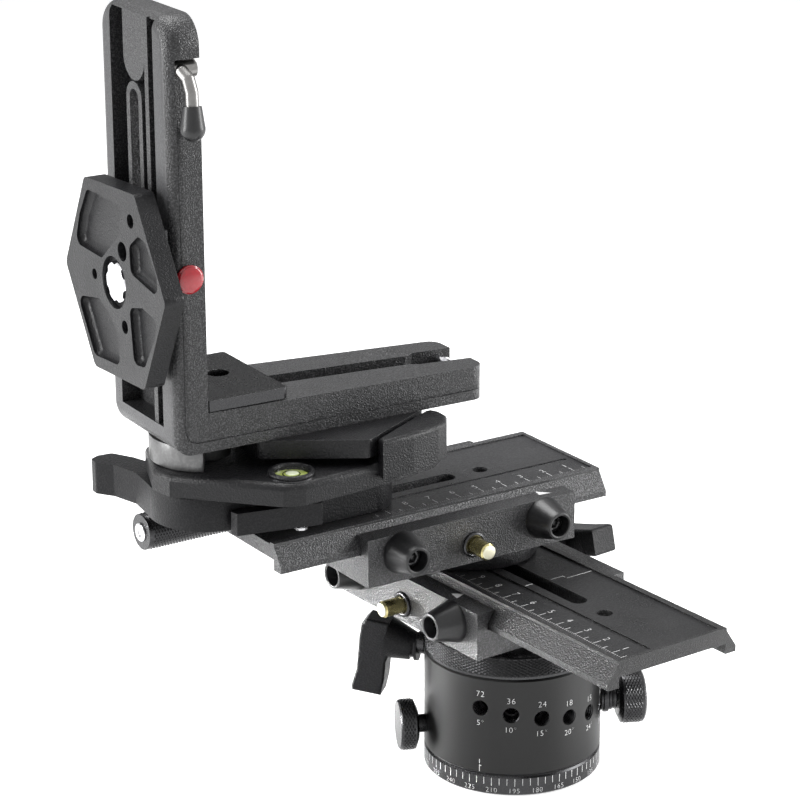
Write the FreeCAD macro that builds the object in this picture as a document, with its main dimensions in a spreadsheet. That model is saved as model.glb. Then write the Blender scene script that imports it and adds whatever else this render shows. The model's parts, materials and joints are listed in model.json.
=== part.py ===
import FreeCAD, Part
import math
import os

import Sketcher
from FreeCAD import Placement, Rotation, Vector

# Panoramic tripod head: an indexed rotator, two crossed scale slides and an
# L-shaped camera bracket held in a quick-release clamp.
# Frame: origin at the centre of the base's bottom face, Z up, the lower slide
# runs along Y (its numbered end towards -Y), the upper slide runs along X.

doc = FreeCAD.newDocument("panoramic_head")
sheet = doc.addObject("Spreadsheet::Sheet", "Sizes")


# ------------------------------------------------------------------ sizes

class Size:
    """A number together with the spreadsheet formula that it comes from."""

    def __init__(self, value, formula):
        self.value = float(value)
        self.formula = formula

    def __add__(self, other):
        return Size(self.value + number(other), "(%s + %s)" % (self.formula, formula(other)))

    def __radd__(self, other):
        return Size(number(other) + self.value, "(%s + %s)" % (formula(other), self.formula))

    def __sub__(self, other):
        return Size(self.value - number(other), "(%s - %s)" % (self.formula, formula(other)))

    def __rsub__(self, other):
        return Size(number(other) - self.value, "(%s - %s)" % (formula(other), self.formula))

    def __mul__(self, other):
        return Size(self.value * number(other), "(%s * %s)" % (self.formula, formula(other)))

    def __rmul__(self, other):
        return Size(number(other) * self.value, "(%s * %s)" % (formula(other), self.formula))

    def __truediv__(self, other):
        return Size(self.value / number(other), "(%s / %s)" % (self.formula, formula(other)))

    def __neg__(self):
        return Size(-self.value, "(0 - %s)" % self.formula)


def number(size):
    """The plain number of a Size, or of a number."""
    return size.value if isinstance(size, Size) else float(size)


def formula(size):
    """The spreadsheet formula of a Size, or of a number."""
    return size.formula if isinstance(size, Size) else "%.9g" % size


def cell(alias, value):
    """Write one driving size into the spreadsheet and return it as a Size."""
    cell.row += 1
    sheet.set("A%d" % cell.row, alias)
    sheet.set("B%d" % cell.row, "%.9g" % value)
    sheet.setAlias("B%d" % cell.row, alias)
    return Size(value, "Sizes." + alias)


cell.row = 0

# clearances
running_fit = cell("running_fit", 0.05)      # radial clearance of a shaft that turns or slides
gap = cell("gap", 0.3)                       # clearance between parts that move past each other
tip_clear = cell("tip_clear", 1.0)           # of pin and screw tips from what they press on

# rotator
body_radius = cell("body_radius", 32.4)
base_height = cell("base_height", 7.3)
edge_chamfer = cell("edge_chamfer", 0.6)
washer_height = cell("washer_height", 0.5)
housing_height = cell("housing_height", 37.2)
housing_bore = cell("housing_bore", 24.5)
housing_roof = cell("housing_roof", 5.0)
disc_height = cell("disc_height", 8.3)
disc_inset = cell("disc_inset", 0.3)         # of the knurled disc inside the housing's radius
boss_radius = cell("boss_radius", 26.0)
boss_height = cell("boss_height", 1.5)
spindle_radius = cell("spindle_radius", 8.0)
spindle_flange_radius = cell("spindle_flange_radius", 14.0)
spindle_flange_height = cell("spindle_flange_height", 3.0)
bearing_radius = cell("bearing_radius", 11.0)
nut_radius = cell("nut_radius", 12.0)
nut_height = cell("nut_height", 4.0)
drum_radius = cell("drum_radius", 20.4)
drum_height = cell("drum_height", 29.0)
dimple_radius = cell("dimple_radius", 1.6)
dimple_depth = cell("dimple_depth", 2.0)
dimple_count = cell("dimple_count", 12)
bush_radius = cell("bush_radius", 7.0)
tap_radius = cell("tap_radius", 4.0)         # minor radius of the 3/8 inch tripod thread
bush_height = cell("bush_height", 9.5)
stud_radius = cell("stud_radius", 4.76)      # 3/8 inch mounting stud
stud_rise = cell("stud_rise", 7.0)

# index plunger, moved between ten threaded holes that climb round the housing
hole_before = cell("hole_before", 3)         # holes behind the one that holds the plunger
hole_count = cell("hole_count", 10)
hole_step = cell("hole_step", 20.0)          # degrees round the housing
hole_rise = cell("hole_rise", 1.83)
hole_radius = cell("hole_radius", 3.0)
plunger_level = cell("plunger_level", 22.4)
plunger_bearing = cell("plunger_bearing", -28.9)
plunger_travel = cell("plunger_travel", 2.6)
collar_radius = cell("collar_radius", 5.6)
collar_rib_radius = cell("collar_rib_radius", 4.9)
collar_length = cell("collar_length", 6.1)
pin_radius = cell("pin_radius", 1.5)
plunger_knob_radius = cell("plunger_knob_radius", 9.9)
plunger_knob_length = cell("plunger_knob_length", 9.8)
spring_radius = cell("spring_radius", 2.1)
spring_wire = cell("spring_wire", 0.35)
spring_turns = cell("spring_turns", 5)

# small drag knob
drag_level = cell("drag_level", 16.3)
drag_bearing = cell("drag_bearing", 153.0)
drag_knob_radius = cell("drag_knob_radius", 9.2)
drag_knob_length = cell("drag_knob_length", 7.0)
drag_neck_radius = cell("drag_neck_radius", 3.4)
drag_neck_length = cell("drag_neck_length", 3.2)

# lock levers
lever_bearing = cell("lever_bearing", 130.0)
lever_neck = cell("lever_neck", 2.9)         # from the housing to the rotator's lever
lever_neck_radius = cell("lever_neck_radius", 4.2)
lever_root_radius = cell("lever_root_radius", 5.3)
lever_root_drop = cell("lever_root_drop", 1.7)
lever_hub_radius = cell("lever_hub_radius", 7.9)
lever_hub_rise = cell("lever_hub_rise", 1.0)
lever_hub_length = cell("lever_hub_length", 12.0)
lever_ring = cell("lever_ring", 1.2)
lever_crown = cell("lever_crown", 9.3)
lever_drop = cell("lever_drop", 20.9)
lever_thick = cell("lever_thick", 10.0)
lever_width = cell("lever_width", 10.4)
lever_lean = cell("lever_lean", 2.7)
lever_soft = cell("lever_soft", 1.1)
lever_stud_radius = cell("lever_stud_radius", 1.8)
shoe_radius = cell("shoe_radius", 2.2)
shoe_length = cell("shoe_length", 3.0)

# slides
plate_length = cell("plate_length", 138.5)
plate_half = cell("plate_half", 24.2)        # half width at the top
foot_half = cell("foot_half", 28.6)          # half width at the foot of the flared flanks
plate_height = cell("plate_height", 9.7)
plate_web = cell("plate_web", 5.8)
leg_half = cell("leg_half", 23.9)
foot_rise = cell("foot_rise", 2.2)
rim_width = cell("rim_width", 2.6)
tray_depth = cell("tray_depth", 0.7)
tray_lip = cell("tray_lip", 1.6)             # solid edge at the numbered end
strip_near = cell("strip_near", 9.2)         # groove that parts the scale strip from the tray
strip_far = cell("strip_far", 7.2)
strip_depth = cell("strip_depth", 1.3)
strip_end = cell("strip_end", 3.2)
slot_half = cell("slot_half", 3.3)
slot_front = cell("slot_front", 47.8)        # from the numbered end to the slot
slot_length = cell("slot_length", 76.0)
screw_hole_front = cell("screw_hole_front", 36.4)
screw_hole_radius = cell("screw_hole_radius", 2.9)
lower_plate_front = cell("lower_plate_front", 87.8)
upper_plate_front = cell("upper_plate_front", 40.0)
carriage_length = cell("carriage_length", 88.5)
carriage_half = cell("carriage_half", 33.5)
carriage_front = cell("carriage_front", 22.2)
carriage_depth = cell("carriage_depth", 20.5)
wall_drop = cell("wall_drop", 2.9)           # top of the carriage's walls below the plate's top
key_half = cell("key_half", 7.2)             # half width of the screw groove in the carriage's rail
cone_spacing = cell("cone_spacing", 60.6)
cone_base_radius = cell("cone_base_radius", 7.8)
cone_tip_radius = cell("cone_tip_radius", 5.0)
cone_bore_radius = cell("cone_bore_radius", 3.9)
cone_length = cell("cone_length", 10.3)
cone_drop = cell("cone_drop", 9.9)
button_radius = cell("button_radius", 3.1)
button_length = cell("button_length", 9.6)
button_drop = cell("button_drop", 13.6)
button_travel = cell("button_travel", 3.0)
button_stem_radius = cell("button_stem_radius", 1.6)
block_length = cell("block_length", 22.0)
block_half = cell("block_half", 43.0)        # outer face of the worm's bearing block
worm_offset = cell("worm_offset", 35.7)
worm_drop = cell("worm_drop", 10.7)
worm_radius = cell("worm_radius", 6.0)
worm_shaft_radius = cell("worm_shaft_radius", 2.6)
worm_knob_radius = cell("worm_knob_radius", 6.6)
worm_knob_length = cell("worm_knob_length", 38.0)
worm_reach = cell("worm_reach", 51.5)        # from the carriage's end to the end of the worm's knob
slide_lever_place = cell("slide_lever_place", 32.0)
slide_lever_tilt = cell("slide_lever_tilt", 14.0)
riser_radius = cell("riser_radius", 24.0)
riser_height = cell("riser_height", 9.6)
stage_screw_radius = cell("stage_screw_radius", 3.1)
screw_head_height = cell("screw_head_height", 2.6)
screw_head_radius = cell("screw_head_radius", 6.0)
upper_shift = cell("upper_shift", 25.3)      # of the upper slide's seat along the lower plate
upper_yaw = cell("upper_yaw", -2.82)

# quick-release clamp
clamp_place = cell("clamp_place", 86.8)      # of the clamp's axis behind the upper slide's seat
clamp_base_front = cell("clamp_base_front", 46.0)
clamp_base_back = cell("clamp_base_back", 3.0)
clamp_base_half = cell("clamp_base_half", 17.0)
clamp_base_height = cell("clamp_base_height", 16.9)
clamp_screw_place = cell("clamp_screw_place", 21.0)
clamp_screw_grip = cell("clamp_screw_grip", 9.0)
clamp_thick = cell("clamp_thick", 7.9)
clamp_soft = cell("clamp_soft", 2.4)
seat_corner = cell("seat_corner", 29.0)
seat_height = cell("seat_height", 2.7)
jaw_rise = cell("jaw_rise", 3.2)             # of the fixed jaw's foot above the plate's underside
jaw_height = cell("jaw_height", 13.6)
foot_place = cell("foot_place", 22.6)
foot_side = cell("foot_side", 5.1)
foot_corner = cell("foot_corner", 38.0)
foot_thick = cell("foot_thick", 6.6)
foot_round = cell("foot_round", 3.0)
foot_screw_grip = cell("foot_screw_grip", 4.0)
lock_back = cell("lock_back", 19.0)          # the lock lever's pivot, from the clamp's axis
lock_side = cell("lock_side", 8.0)
lock_hub_radius = cell("lock_hub_radius", 20.6)
lock_level = cell("lock_level", 3.6)
lock_thick = cell("lock_thick", 11.7)
lock_pin_radius = cell("lock_pin_radius", 4.0)
cam_radius = cell("cam_radius", 20.0)
cam_core = cell("cam_core", 8.4)
tab_level = cell("tab_level", 3.3)
tab_thick = cell("tab_thick", 8.0)
tab_pin_radius = cell("tab_pin_radius", 1.6)
tab_pin_side = cell("tab_pin_side", 21.2)
level_radius = cell("level_radius", 8.2)
level_glass_radius = cell("level_glass_radius", 6.0)
level_depth = cell("level_depth", 5.0)
level_proud = cell("level_proud", 0.6)
level_back = cell("level_back", 5.6)
level_side = cell("level_side", 26.4)

# L-bracket
bracket_yaw = cell("bracket_yaw", -5.0)
arm_near = cell("arm_near", 15.4)            # near face, from the clamp's axis
arm_root_far = cell("arm_root_far", 35.0)
arm_end_far = cell("arm_end_far", 18.6)
arm_length = cell("arm_length", 80.4)
arm_waist = cell("arm_waist", 4.0)
arm_waist_far = cell("arm_waist_far", 27.0)
arm_depth = cell("arm_depth", 13.7)
arm_end_drop = cell("arm_end_drop", 1.4)
arm_soft = cell("arm_soft", 5.0)
channel_far = cell("channel_far", 12.1)      # edges of the arm's skewed channel at the clamp's axis
channel_near = cell("channel_near", 3.0)
channel_slope = cell("channel_slope", 0.075)
channel_flare = cell("channel_flare", 61.0)  # where the channel widens towards the arm's end
channel_depth = cell("channel_depth", 8.0)
post_front = cell("post_front", 41.5)
post_depth = cell("post_depth", 11.7)
post_far = cell("post_far", 36.1)
post_height = cell("post_height", 148.3)
post_corner = cell("post_corner", 10.0)
post_channel_depth = cell("post_channel_depth", 7.0)
post_near_flange = cell("post_near_flange", 10.4)
post_far_flange = cell("post_far_flange", 9.4)
rail_near = cell("rail_near", -0.7)          # thin rail beside the keyhole
rail_far = cell("rail_far", 2.0)
boss_side = cell("boss_side", 9.7)           # rounded boss above the keyhole
boss_half = cell("boss_half", 7.7)
boss_drop = cell("boss_drop", 24.1)          # of the boss's end below the post's top
post_roof = cell("post_roof", 1.8)
keyhole_side = cell("keyhole_side", 10.4)
keyhole_half = cell("keyhole_half", 3.2)
keyhole_rim = cell("keyhole_rim", 2.5)
keyhole_drop = cell("keyhole_drop", 27.1)    # of the keyhole's end below the post's top
keyhole_bottom = cell("keyhole_bottom", 24.0)
notch_drop = cell("notch_drop", 38.8)        # of the side notch's floor below the post's top
notch_height = cell("notch_height", 25.4)
notch_depth = cell("notch_depth", 8.8)
notch_length = cell("notch_length", 8.8)
near_groove = cell("near_groove", 0.5)
near_border = cell("near_border", 2.8)
cross_pin_radius = cell("cross_pin_radius", 1.6)
stop_length = cell("stop_length", 30.0)
stop_far = cell("stop_far", 32.0)
stop_near = cell("stop_near", 14.8)
stop_thick = cell("stop_thick", 4.0)
stop_hole_radius = cell("stop_hole_radius", 4.0)
stop_hole_back = cell("stop_hole_back", 12.2)
stop_hole_side = cell("stop_hole_side", 11.5)

# camera plate on the post
camera_height = cell("camera_height", 56.8)
camera_side = cell("camera_side", 8.9)
camera_corner = cell("camera_corner", 38.2)
camera_roll = cell("camera_roll", -2.9)
camera_round = cell("camera_round", 3.0)
camera_thick = cell("camera_thick", 7.2)
camera_hollow = cell("camera_hollow", 2.8)
carrier_half = cell("carrier_half", 22.0)
carrier_height = cell("carrier_height", 44.0)
carrier_gap = cell("carrier_gap", 2.6)
camera_screw_radius = cell("camera_screw_radius", 3.05)
camera_head_sunk = cell("camera_head_sunk", 0.5)
camera_grip_radius = cell("camera_grip_radius", 2.4)
camera_grip_place = cell("camera_grip_place", 8.5)
camera_head_radius = cell("camera_head_radius", 7.2)
camera_head_height = cell("camera_head_height", 1.8)
camera_recess_radius = cell("camera_recess_radius", 9.0)
cap_radius = cell("cap_radius", 4.9)
cap_height = cell("cap_height", 1.2)
cap_level = cell("cap_level", 61.5)
cap_back = cell("cap_back", 5.8)
carrier_bolt_radius = cell("carrier_bolt_radius", 2.4)
carrier_nut_radius = cell("carrier_nut_radius", 8.0)
carrier_nut_thick = cell("carrier_nut_thick", 4.0)
rod_radius = cell("rod_radius", 2.25)
rod_barrel_radius = cell("rod_barrel_radius", 2.9)
tip_radius = cell("tip_radius", 4.15)
tip_neck = cell("tip_neck", 3.1)

disc_radius = body_radius - disc_inset
notch_bottom = post_height - notch_drop
keyhole_top = post_height - keyhole_drop
boss_bottom = post_height - boss_drop

doc.recompute()


# ---------------------------------------------------------------- helpers

AXIS_TURN = {
    "X": Rotation(Vector(0, 1, 0), 90),
    "Y": Rotation(Vector(1, 0, 0), -90),
    "Z": Rotation(),
}
nodes = {}


def set_size(thing, prop, size):
    """Bind one property of an object to a Size."""
    if isinstance(size, Size):
        thing.setExpression(prop, size.formula)
    else:
        setattr(thing, prop, size)


def put(thing, x, y, z, turn=None):
    """Place an object, with its position bound to Sizes."""
    turn = turn or Rotation()
    thing.Placement = Placement(Vector(number(x), number(y), number(z)), turn)
    for letter, size in (("x", x), ("y", y), ("z", z)):
        if isinstance(size, Size):
            thing.setExpression(".Placement.Base." + letter, size.formula)
    return thing


def block(name, x_span, y_span, z_span):
    """A box given by its lowest and highest x, y and z."""
    box = doc.addObject("Part::Box", name)
    set_size(box, "Length", x_span[1] - x_span[0])
    set_size(box, "Width", y_span[1] - y_span[0])
    set_size(box, "Height", z_span[1] - z_span[0])
    return put(box, x_span[0], y_span[0], z_span[0])


def rod(name, radius, length, start=(0, 0, 0), axis="Z"):
    """A cylinder that grows from start along an axis."""
    cylinder = doc.addObject("Part::Cylinder", name)
    set_size(cylinder, "Radius", radius)
    set_size(cylinder, "Height", length)
    return put(cylinder, start[0], start[1], start[2], AXIS_TURN[axis])


def taper(name, radius_1, radius_2, length, start=(0, 0, 0), axis="Z"):
    """A cone that grows from start along an axis."""
    cone = doc.addObject("Part::Cone", name)
    set_size(cone, "Radius1", radius_1)
    set_size(cone, "Radius2", radius_2)
    set_size(cone, "Height", length)
    return put(cone, start[0], start[1], start[2], AXIS_TURN[axis])


def ball(name, radius, centre):
    """A sphere."""
    sphere = doc.addObject("Part::Sphere", name)
    set_size(sphere, "Radius", radius)
    return put(sphere, centre[0], centre[1], centre[2])


def join(name, *pieces):
    """One solid fused from several."""
    fused = doc.addObject("Part::MultiFuse", name)
    fused.Shapes = list(pieces)
    return fused


def cut(name, base, *tools):
    """A base with one or more tools taken out of it."""
    tool = tools[0] if len(tools) == 1 else join(name + "_tools", *tools)
    difference = doc.addObject("Part::Cut", name)
    difference.Base = base
    difference.Tool = tool
    return difference


def tube(name, outer, inner, length, start=(0, 0, 0), axis="Z"):
    """A round ring."""
    return cut(name, rod(name + "_outside", outer, length, start, axis),
               rod(name + "_inside", inner, length, start, axis))


def origin_plane(body, role):
    """One of a body's own origin planes, found by its role."""
    return [plane for plane in body.Origin.OriginFeatures if plane.Role == role][0]


def outline(body, name, role, points, offset=0):
    """A closed sketch of straight lines, every corner bound to Sizes."""
    sketch = body.newObject("Sketcher::SketchObject", name)
    sketch.AttachmentSupport = (origin_plane(body, role), [""])
    sketch.MapMode = "FlatFace"
    if isinstance(offset, Size):
        sketch.AttachmentOffset = Placement(Vector(0, 0, offset.value), Rotation())
        sketch.setExpression(".AttachmentOffset.Base.z", offset.formula)
    last = len(points) - 1
    corners = [Vector(number(x), number(y), 0) for x, y in points]
    for index, corner in enumerate(corners):
        following = corners[0 if index == last else index + 1]
        sketch.addGeometry(Part.LineSegment(corner, following), False)
    for index in range(last + 1):
        following = 0 if index == last else index + 1
        sketch.addConstraint(Sketcher.Constraint("Coincident", index, 2, following, 1))
    for index, (x, y) in enumerate(points):
        for kind, size in (("DistanceX", x), ("DistanceY", y)):
            place = sketch.addConstraint(Sketcher.Constraint(kind, -1, 1, index, 1, number(size)))
            if isinstance(size, Size):
                sketch.setExpression("Constraints[%d]" % place, size.formula)
    return sketch


def new_body(name):
    """An empty PartDesign body."""
    return doc.addObject("PartDesign::Body", name)


def pad(body, name, sketch, length):
    """Material grown from a sketch along its normal."""
    feature = body.newObject("PartDesign::Pad", name)
    feature.Profile = sketch
    set_size(feature, "Length", length)
    body.Tip = feature
    doc.recompute()
    return feature


def pocket(body, name, sketch, depth, reverse=False):
    """Material taken away from a sketch, against its normal unless reversed."""
    before = body.Shape.Volume
    feature = body.newObject("PartDesign::Pocket", name)
    feature.Profile = sketch
    feature.Reversed = reverse
    set_size(feature, "Length", depth)
    body.Tip = feature
    doc.recompute()
    if body.Shape.Volume >= before - 1e-6:
        raise ValueError(name + " cuts nothing")
    return feature


def turn_profile(body, name, sketch, axis="V_Axis"):
    """A full revolution of a sketch about one of its own axes."""
    feature = body.newObject("PartDesign::Revolution", name)
    feature.Profile = sketch
    feature.ReferenceAxis = (sketch, [axis])
    feature.Angle = 360
    body.Tip = feature
    doc.recompute()
    return feature


def turned(name, points, role="XZ_Plane", axis="V_Axis"):
    """A turned body from half of its section."""
    body = new_body(name)
    turn_profile(body, name + "_turn", outline(body, name + "_section", role, points), axis)
    return body


def rounded(name, base, radius, chosen):
    """Fillets on those edges of base that the test picks."""
    doc.recompute()
    edges = [index + 1 for index, edge in enumerate(base.Shape.Edges) if chosen(edge)]
    fillet = doc.addObject("Part::Fillet", name)
    fillet.Base = base
    fillet.Edges = [(index, number(radius), number(radius)) for index in edges]
    return fillet


def is_upright(edge):
    """True for a straight edge along Z."""
    start, end = edge.Vertexes[0].Point, edge.Vertexes[-1].Point
    return abs(start.x - end.x) + abs(start.y - end.y) < 1e-6 and abs(start.z - end.z) > 1e-3


def is_crosswise(edge):
    """True for a straight edge along Y."""
    start, end = edge.Vertexes[0].Point, edge.Vertexes[-1].Point
    return abs(start.x - end.x) + abs(start.z - end.z) < 1e-6 and abs(start.y - end.y) > 1e-3


def is_lengthwise(edge):
    """True for a straight edge along X."""
    start, end = edge.Vertexes[0].Point, edge.Vertexes[-1].Point
    return abs(start.y - end.y) + abs(start.z - end.z) < 1e-6 and abs(start.x - end.x) > 1e-3


class Frame:
    """A place and a turn about Z in which a group of pieces is built."""

    def __init__(self, x=0, y=0, z=0, angle=0):
        self.x, self.y, self.z, self.angle = x, y, z, angle

    def seat(self, piece, tilt=None):
        """Put a finished piece, modelled at the frame's own origin, in its place."""
        turn = Rotation(Vector(0, 0, 1), number(self.angle))
        return put(piece, self.x, self.y, self.z, turn.multiply(tilt) if tilt else turn)

    def beyond(self, forward, side, up, angle):
        """Another frame, given by its place in this one and its own angle."""
        turn = math.radians(number(self.angle))
        cosine, sine = math.cos(turn), math.sin(turn)
        return Frame(self.x + forward * cosine - side * sine,
                     self.y + forward * sine + side * cosine, self.z + up, angle)


def node(name, piece, frame=None, tilt=None):
    """Name a finished piece, seat it in its frame and keep it for export."""
    if frame:
        frame.seat(piece, tilt)
    piece.Label = name
    nodes[name] = piece
    return piece


# ---------------------------------------------------------------- rotator

housing_bottom = base_height + washer_height
housing_top = housing_bottom + housing_height
disc_bottom = housing_top + gap
disc_top = disc_bottom + disc_height
stage_seat = disc_top + boss_height
lower_top = stage_seat + carriage_depth
upper_seat = lower_top + riser_height
upper_top = upper_seat + carriage_depth
drum_bottom = base_height
drum_top = drum_bottom + drum_height
spindle_top = disc_bottom + nut_height + gap
lock_level_z = housing_top - housing_roof / 2


def make_base():
    """Degree ring with the tripod bush pressed into its middle."""
    flange_floor = base_height - spindle_flange_height
    ring = turned("base_ring_turned", [
        (bush_radius, 0), (body_radius - edge_chamfer, 0), (body_radius, edge_chamfer),
        (body_radius, base_height - edge_chamfer), (body_radius - edge_chamfer, base_height),
        (spindle_flange_radius, base_height), (spindle_flange_radius, flange_floor),
        (bush_radius, flange_floor)])
    node("base_ring", ring)
    bush = tube("bush_tube", bush_radius, tap_radius, bush_height)
    node("tripod_bush", bush)
    washer = tube("washer_tube", body_radius - edge_chamfer, drum_radius + gap, washer_height,
                  (0, 0, base_height))
    node("friction_washer", washer)


def make_spindle():
    """Hollow spindle, its index drum and the nut that holds the housing down."""
    flange_floor = base_height - spindle_flange_height
    spindle = turned("spindle_turned", [
        (bush_radius, flange_floor), (spindle_flange_radius, flange_floor),
        (spindle_flange_radius, base_height), (spindle_radius, base_height),
        (spindle_radius, spindle_top), (0, spindle_top), (0, bush_height), (bush_radius, bush_height)])
    node("spindle", spindle)
    drum = tube("drum_tube", drum_radius, spindle_radius, drum_height, (0, 0, drum_bottom))
    dimples = []
    for index in range(int(dimple_count.value)):
        dimple = taper("dimple_%d" % index, 0.4, dimple_radius, dimple_depth, axis="X")
        turn = Rotation(Vector(0, 0, 1), plunger_bearing.value + index * 360 / dimple_count.value)
        dimple.Placement = Placement(turn.multVec(Vector(number(drum_radius - dimple_depth), 0, 0)),
                                     turn.multiply(AXIS_TURN["X"]))
        dimple.setExpression(".Placement.Base.z", plunger_level.formula)
        dimples.append(dimple)
    node("index_drum", cut("drum_dimpled", drum, *dimples))
    nut = tube("nut_tube", nut_radius, spindle_radius, nut_height, (0, 0, disc_bottom))
    node("spindle_nut", nut)


def make_housing():
    """Turning shell with a climbing row of threaded index holes, and its top bearing."""
    roof = housing_top - housing_roof
    shell = turned("housing_turned", [
        (housing_bore, housing_bottom), (body_radius - edge_chamfer, housing_bottom),
        (body_radius, housing_bottom + edge_chamfer), (body_radius, housing_top - edge_chamfer),
        (body_radius - edge_chamfer, housing_top), (bearing_radius, housing_top),
        (bearing_radius, roof), (housing_bore, roof)])
    holes = []
    for number_of_hole in range(int(hole_count.value)):
        index = number_of_hole - int(hole_before.value)
        angle = plunger_bearing.value - index * hole_step.value
        level = plunger_level + index * hole_rise
        turn = Rotation(Vector(0, 0, 1), angle)
        hole = rod("index_hole_%d" % number_of_hole, hole_radius, body_radius, axis="X")
        put(hole, 0, 0, level, turn.multiply(AXIS_TURN["X"]))
        reach = turn.multVec(Vector(number(housing_bore) - 1, 0, 0))
        hole.Placement.Base = Vector(reach.x, reach.y, level.value)
        holes.append(hole)
    drag_hole = rod("drag_hole", drag_neck_radius, body_radius)
    turn = Rotation(Vector(0, 0, 1), drag_bearing.value)
    reach = turn.multVec(Vector(number(housing_bore) - 1, 0, 0))
    drag_hole.Placement = Placement(Vector(reach.x, reach.y, drag_level.value),
                                    turn.multiply(AXIS_TURN["X"]))
    lock_hole = rod("lock_hole", shoe_radius, body_radius, axis="X")
    turn = Rotation(Vector(0, 0, 1), lever_bearing.value)
    reach = turn.multVec(Vector(number(bearing_radius) - 1, 0, 0))
    lock_hole.Placement = Placement(Vector(reach.x, reach.y, number(lock_level_z)),
                                    turn.multiply(AXIS_TURN["X"]))
    node("housing", cut("housing_drilled", shell, drag_hole, lock_hole, *holes))
    bearing = tube("bearing_tube", bearing_radius - running_fit, spindle_radius, housing_roof,
                   (0, 0, roof))
    node("top_bearing", bearing)


def make_disc():
    """Knurled turning disc that carries the slides on a stud."""
    cavity_radius = nut_radius + gap
    cavity_top = spindle_top + gap
    disc = turned("disc_turned", [
        (cavity_radius, housing_top), (boss_radius, housing_top), (boss_radius, disc_bottom),
        (disc_radius, disc_bottom), (disc_radius, disc_top - edge_chamfer),
        (disc_radius - edge_chamfer, disc_top), (boss_radius, disc_top), (boss_radius, stage_seat),
        (stud_radius, stage_seat), (stud_radius, cavity_top), (cavity_radius, cavity_top)])
    node("knurled_disc", disc)
    stud = rod("mount_stud_rod", stud_radius, stage_seat - cavity_top + stud_rise, (0, 0, cavity_top))
    node("mount_stud", stud)


def lever_handle(name):
    """Lock lever about +X: a swelling hub, and a handle that drops along -Z from its outer end."""
    root = lever_hub_length
    tip = lever_hub_length + lever_thick
    hub = join(name + "_hub",
               rod(name + "_ring", lever_root_radius, lever_ring, (0, 0, -lever_root_drop), "X"),
               rod(name + "_groove", lever_neck_radius, lever_ring * 2, (0, 0, -lever_root_drop), "X"),
               strut(name + "_swell", lever_root_radius, lever_hub_radius,
                     (lever_ring * 1.6, 0, -lever_root_drop), (root, 0, lever_hub_rise)))
    handle = new_body(name + "_handle")
    section = outline(handle, name + "_section", "XZ_Plane", [
        (root - 1.5 * lever_ring, lever_crown * 0.88), (tip - lever_thick * 0.34, lever_crown),
        (tip - lever_thick * 0.13, lever_crown * 0.76), (tip - lever_thick * 0.04, lever_crown * 0.2),
        (tip, -lever_drop * 0.15), (tip + lever_lean * 0.26, -lever_drop * 0.53),
        (tip + lever_lean, -lever_drop * 0.85), (tip + lever_lean * 0.92, -lever_drop * 0.94),
        (root + lever_lean * 0.6, -lever_drop), (root + lever_lean * 0.1, -lever_drop * 0.72),
        (root - lever_ring * 0.4, -lever_drop * 0.36), (root - 1.5 * lever_ring, -lever_drop * 0.2)],
        -lever_width / 2)
    pad(handle, name + "_pad", section, lever_width)
    soft = rounded(name + "_soft", handle, lever_soft, lambda edge: not is_crosswise(edge))
    body = join(name + "_blank", hub, soft)
    return cut(name + "_bored", body, rod(name + "_bore", lever_stud_radius, lever_hub_length * 0.7,
                                          (0, 0, 0), "X"))


def coil(name, radius, wire, turns, length, axis_turn, place):
    """A coil spring that grows along its own Z from place."""
    path = Part.makeHelix(number(length) / number(turns), number(length), number(radius))
    ring = Part.Wire([Part.makeCircle(number(wire), Vector(number(radius), 0, 0), Vector(0, 1, 0))])
    spring = doc.addObject("Part::Feature", name)
    spring.Shape = Part.Wire(path.Edges).makePipeShell([ring], True, True)
    spring.Placement = Placement(place, axis_turn)
    return spring


def make_pan_lock():
    """Lever, threaded stud and brake shoe that clamp the housing to the spindle's bearing ring."""
    stand_off = body_radius + lever_neck
    frame = Frame(stand_off * math.cos(math.radians(lever_bearing.value)),
                  stand_off * math.sin(math.radians(lever_bearing.value)),
                  lock_level_z, lever_bearing)
    node("pan_lock_lever", lever_handle("pan_lever"), frame)
    shoe_start = bearing_radius + tip_clear - stand_off
    stud = join("pan_stud",
                rod("pan_neck", lever_neck_radius, lever_neck - gap, (gap - lever_neck, 0, 0), "X"),
                rod("pan_stud_rod", lever_stud_radius,
                    lever_hub_length * 0.7 - shoe_start - shoe_length,
                    (shoe_start + shoe_length, 0, 0), "X"),
                rod("pan_shoe", shoe_radius - running_fit, shoe_length, (shoe_start, 0, 0), "X"))
    node("pan_lock_stud", stud, frame)


def make_drag_knob():
    """Small knurled screw knob that sets the rotator's drag."""
    frame = Frame(0, 0, drag_level, drag_bearing)
    start = body_radius + drag_neck_length
    neck_start = drum_radius + tip_clear
    knob = turned("drag_turned", [
        (neck_start, 0), (neck_start, drag_neck_radius - running_fit),
        (start, drag_neck_radius - running_fit), (start, drag_knob_radius * 0.7),
        (start + 1.2, drag_knob_radius), (start + drag_knob_length - 0.6, drag_knob_radius),
        (start + drag_knob_length, drag_knob_radius - 0.6), (start + drag_knob_length, 0)],
        axis="H_Axis")
    node("drag_knob", knob, frame)


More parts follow.
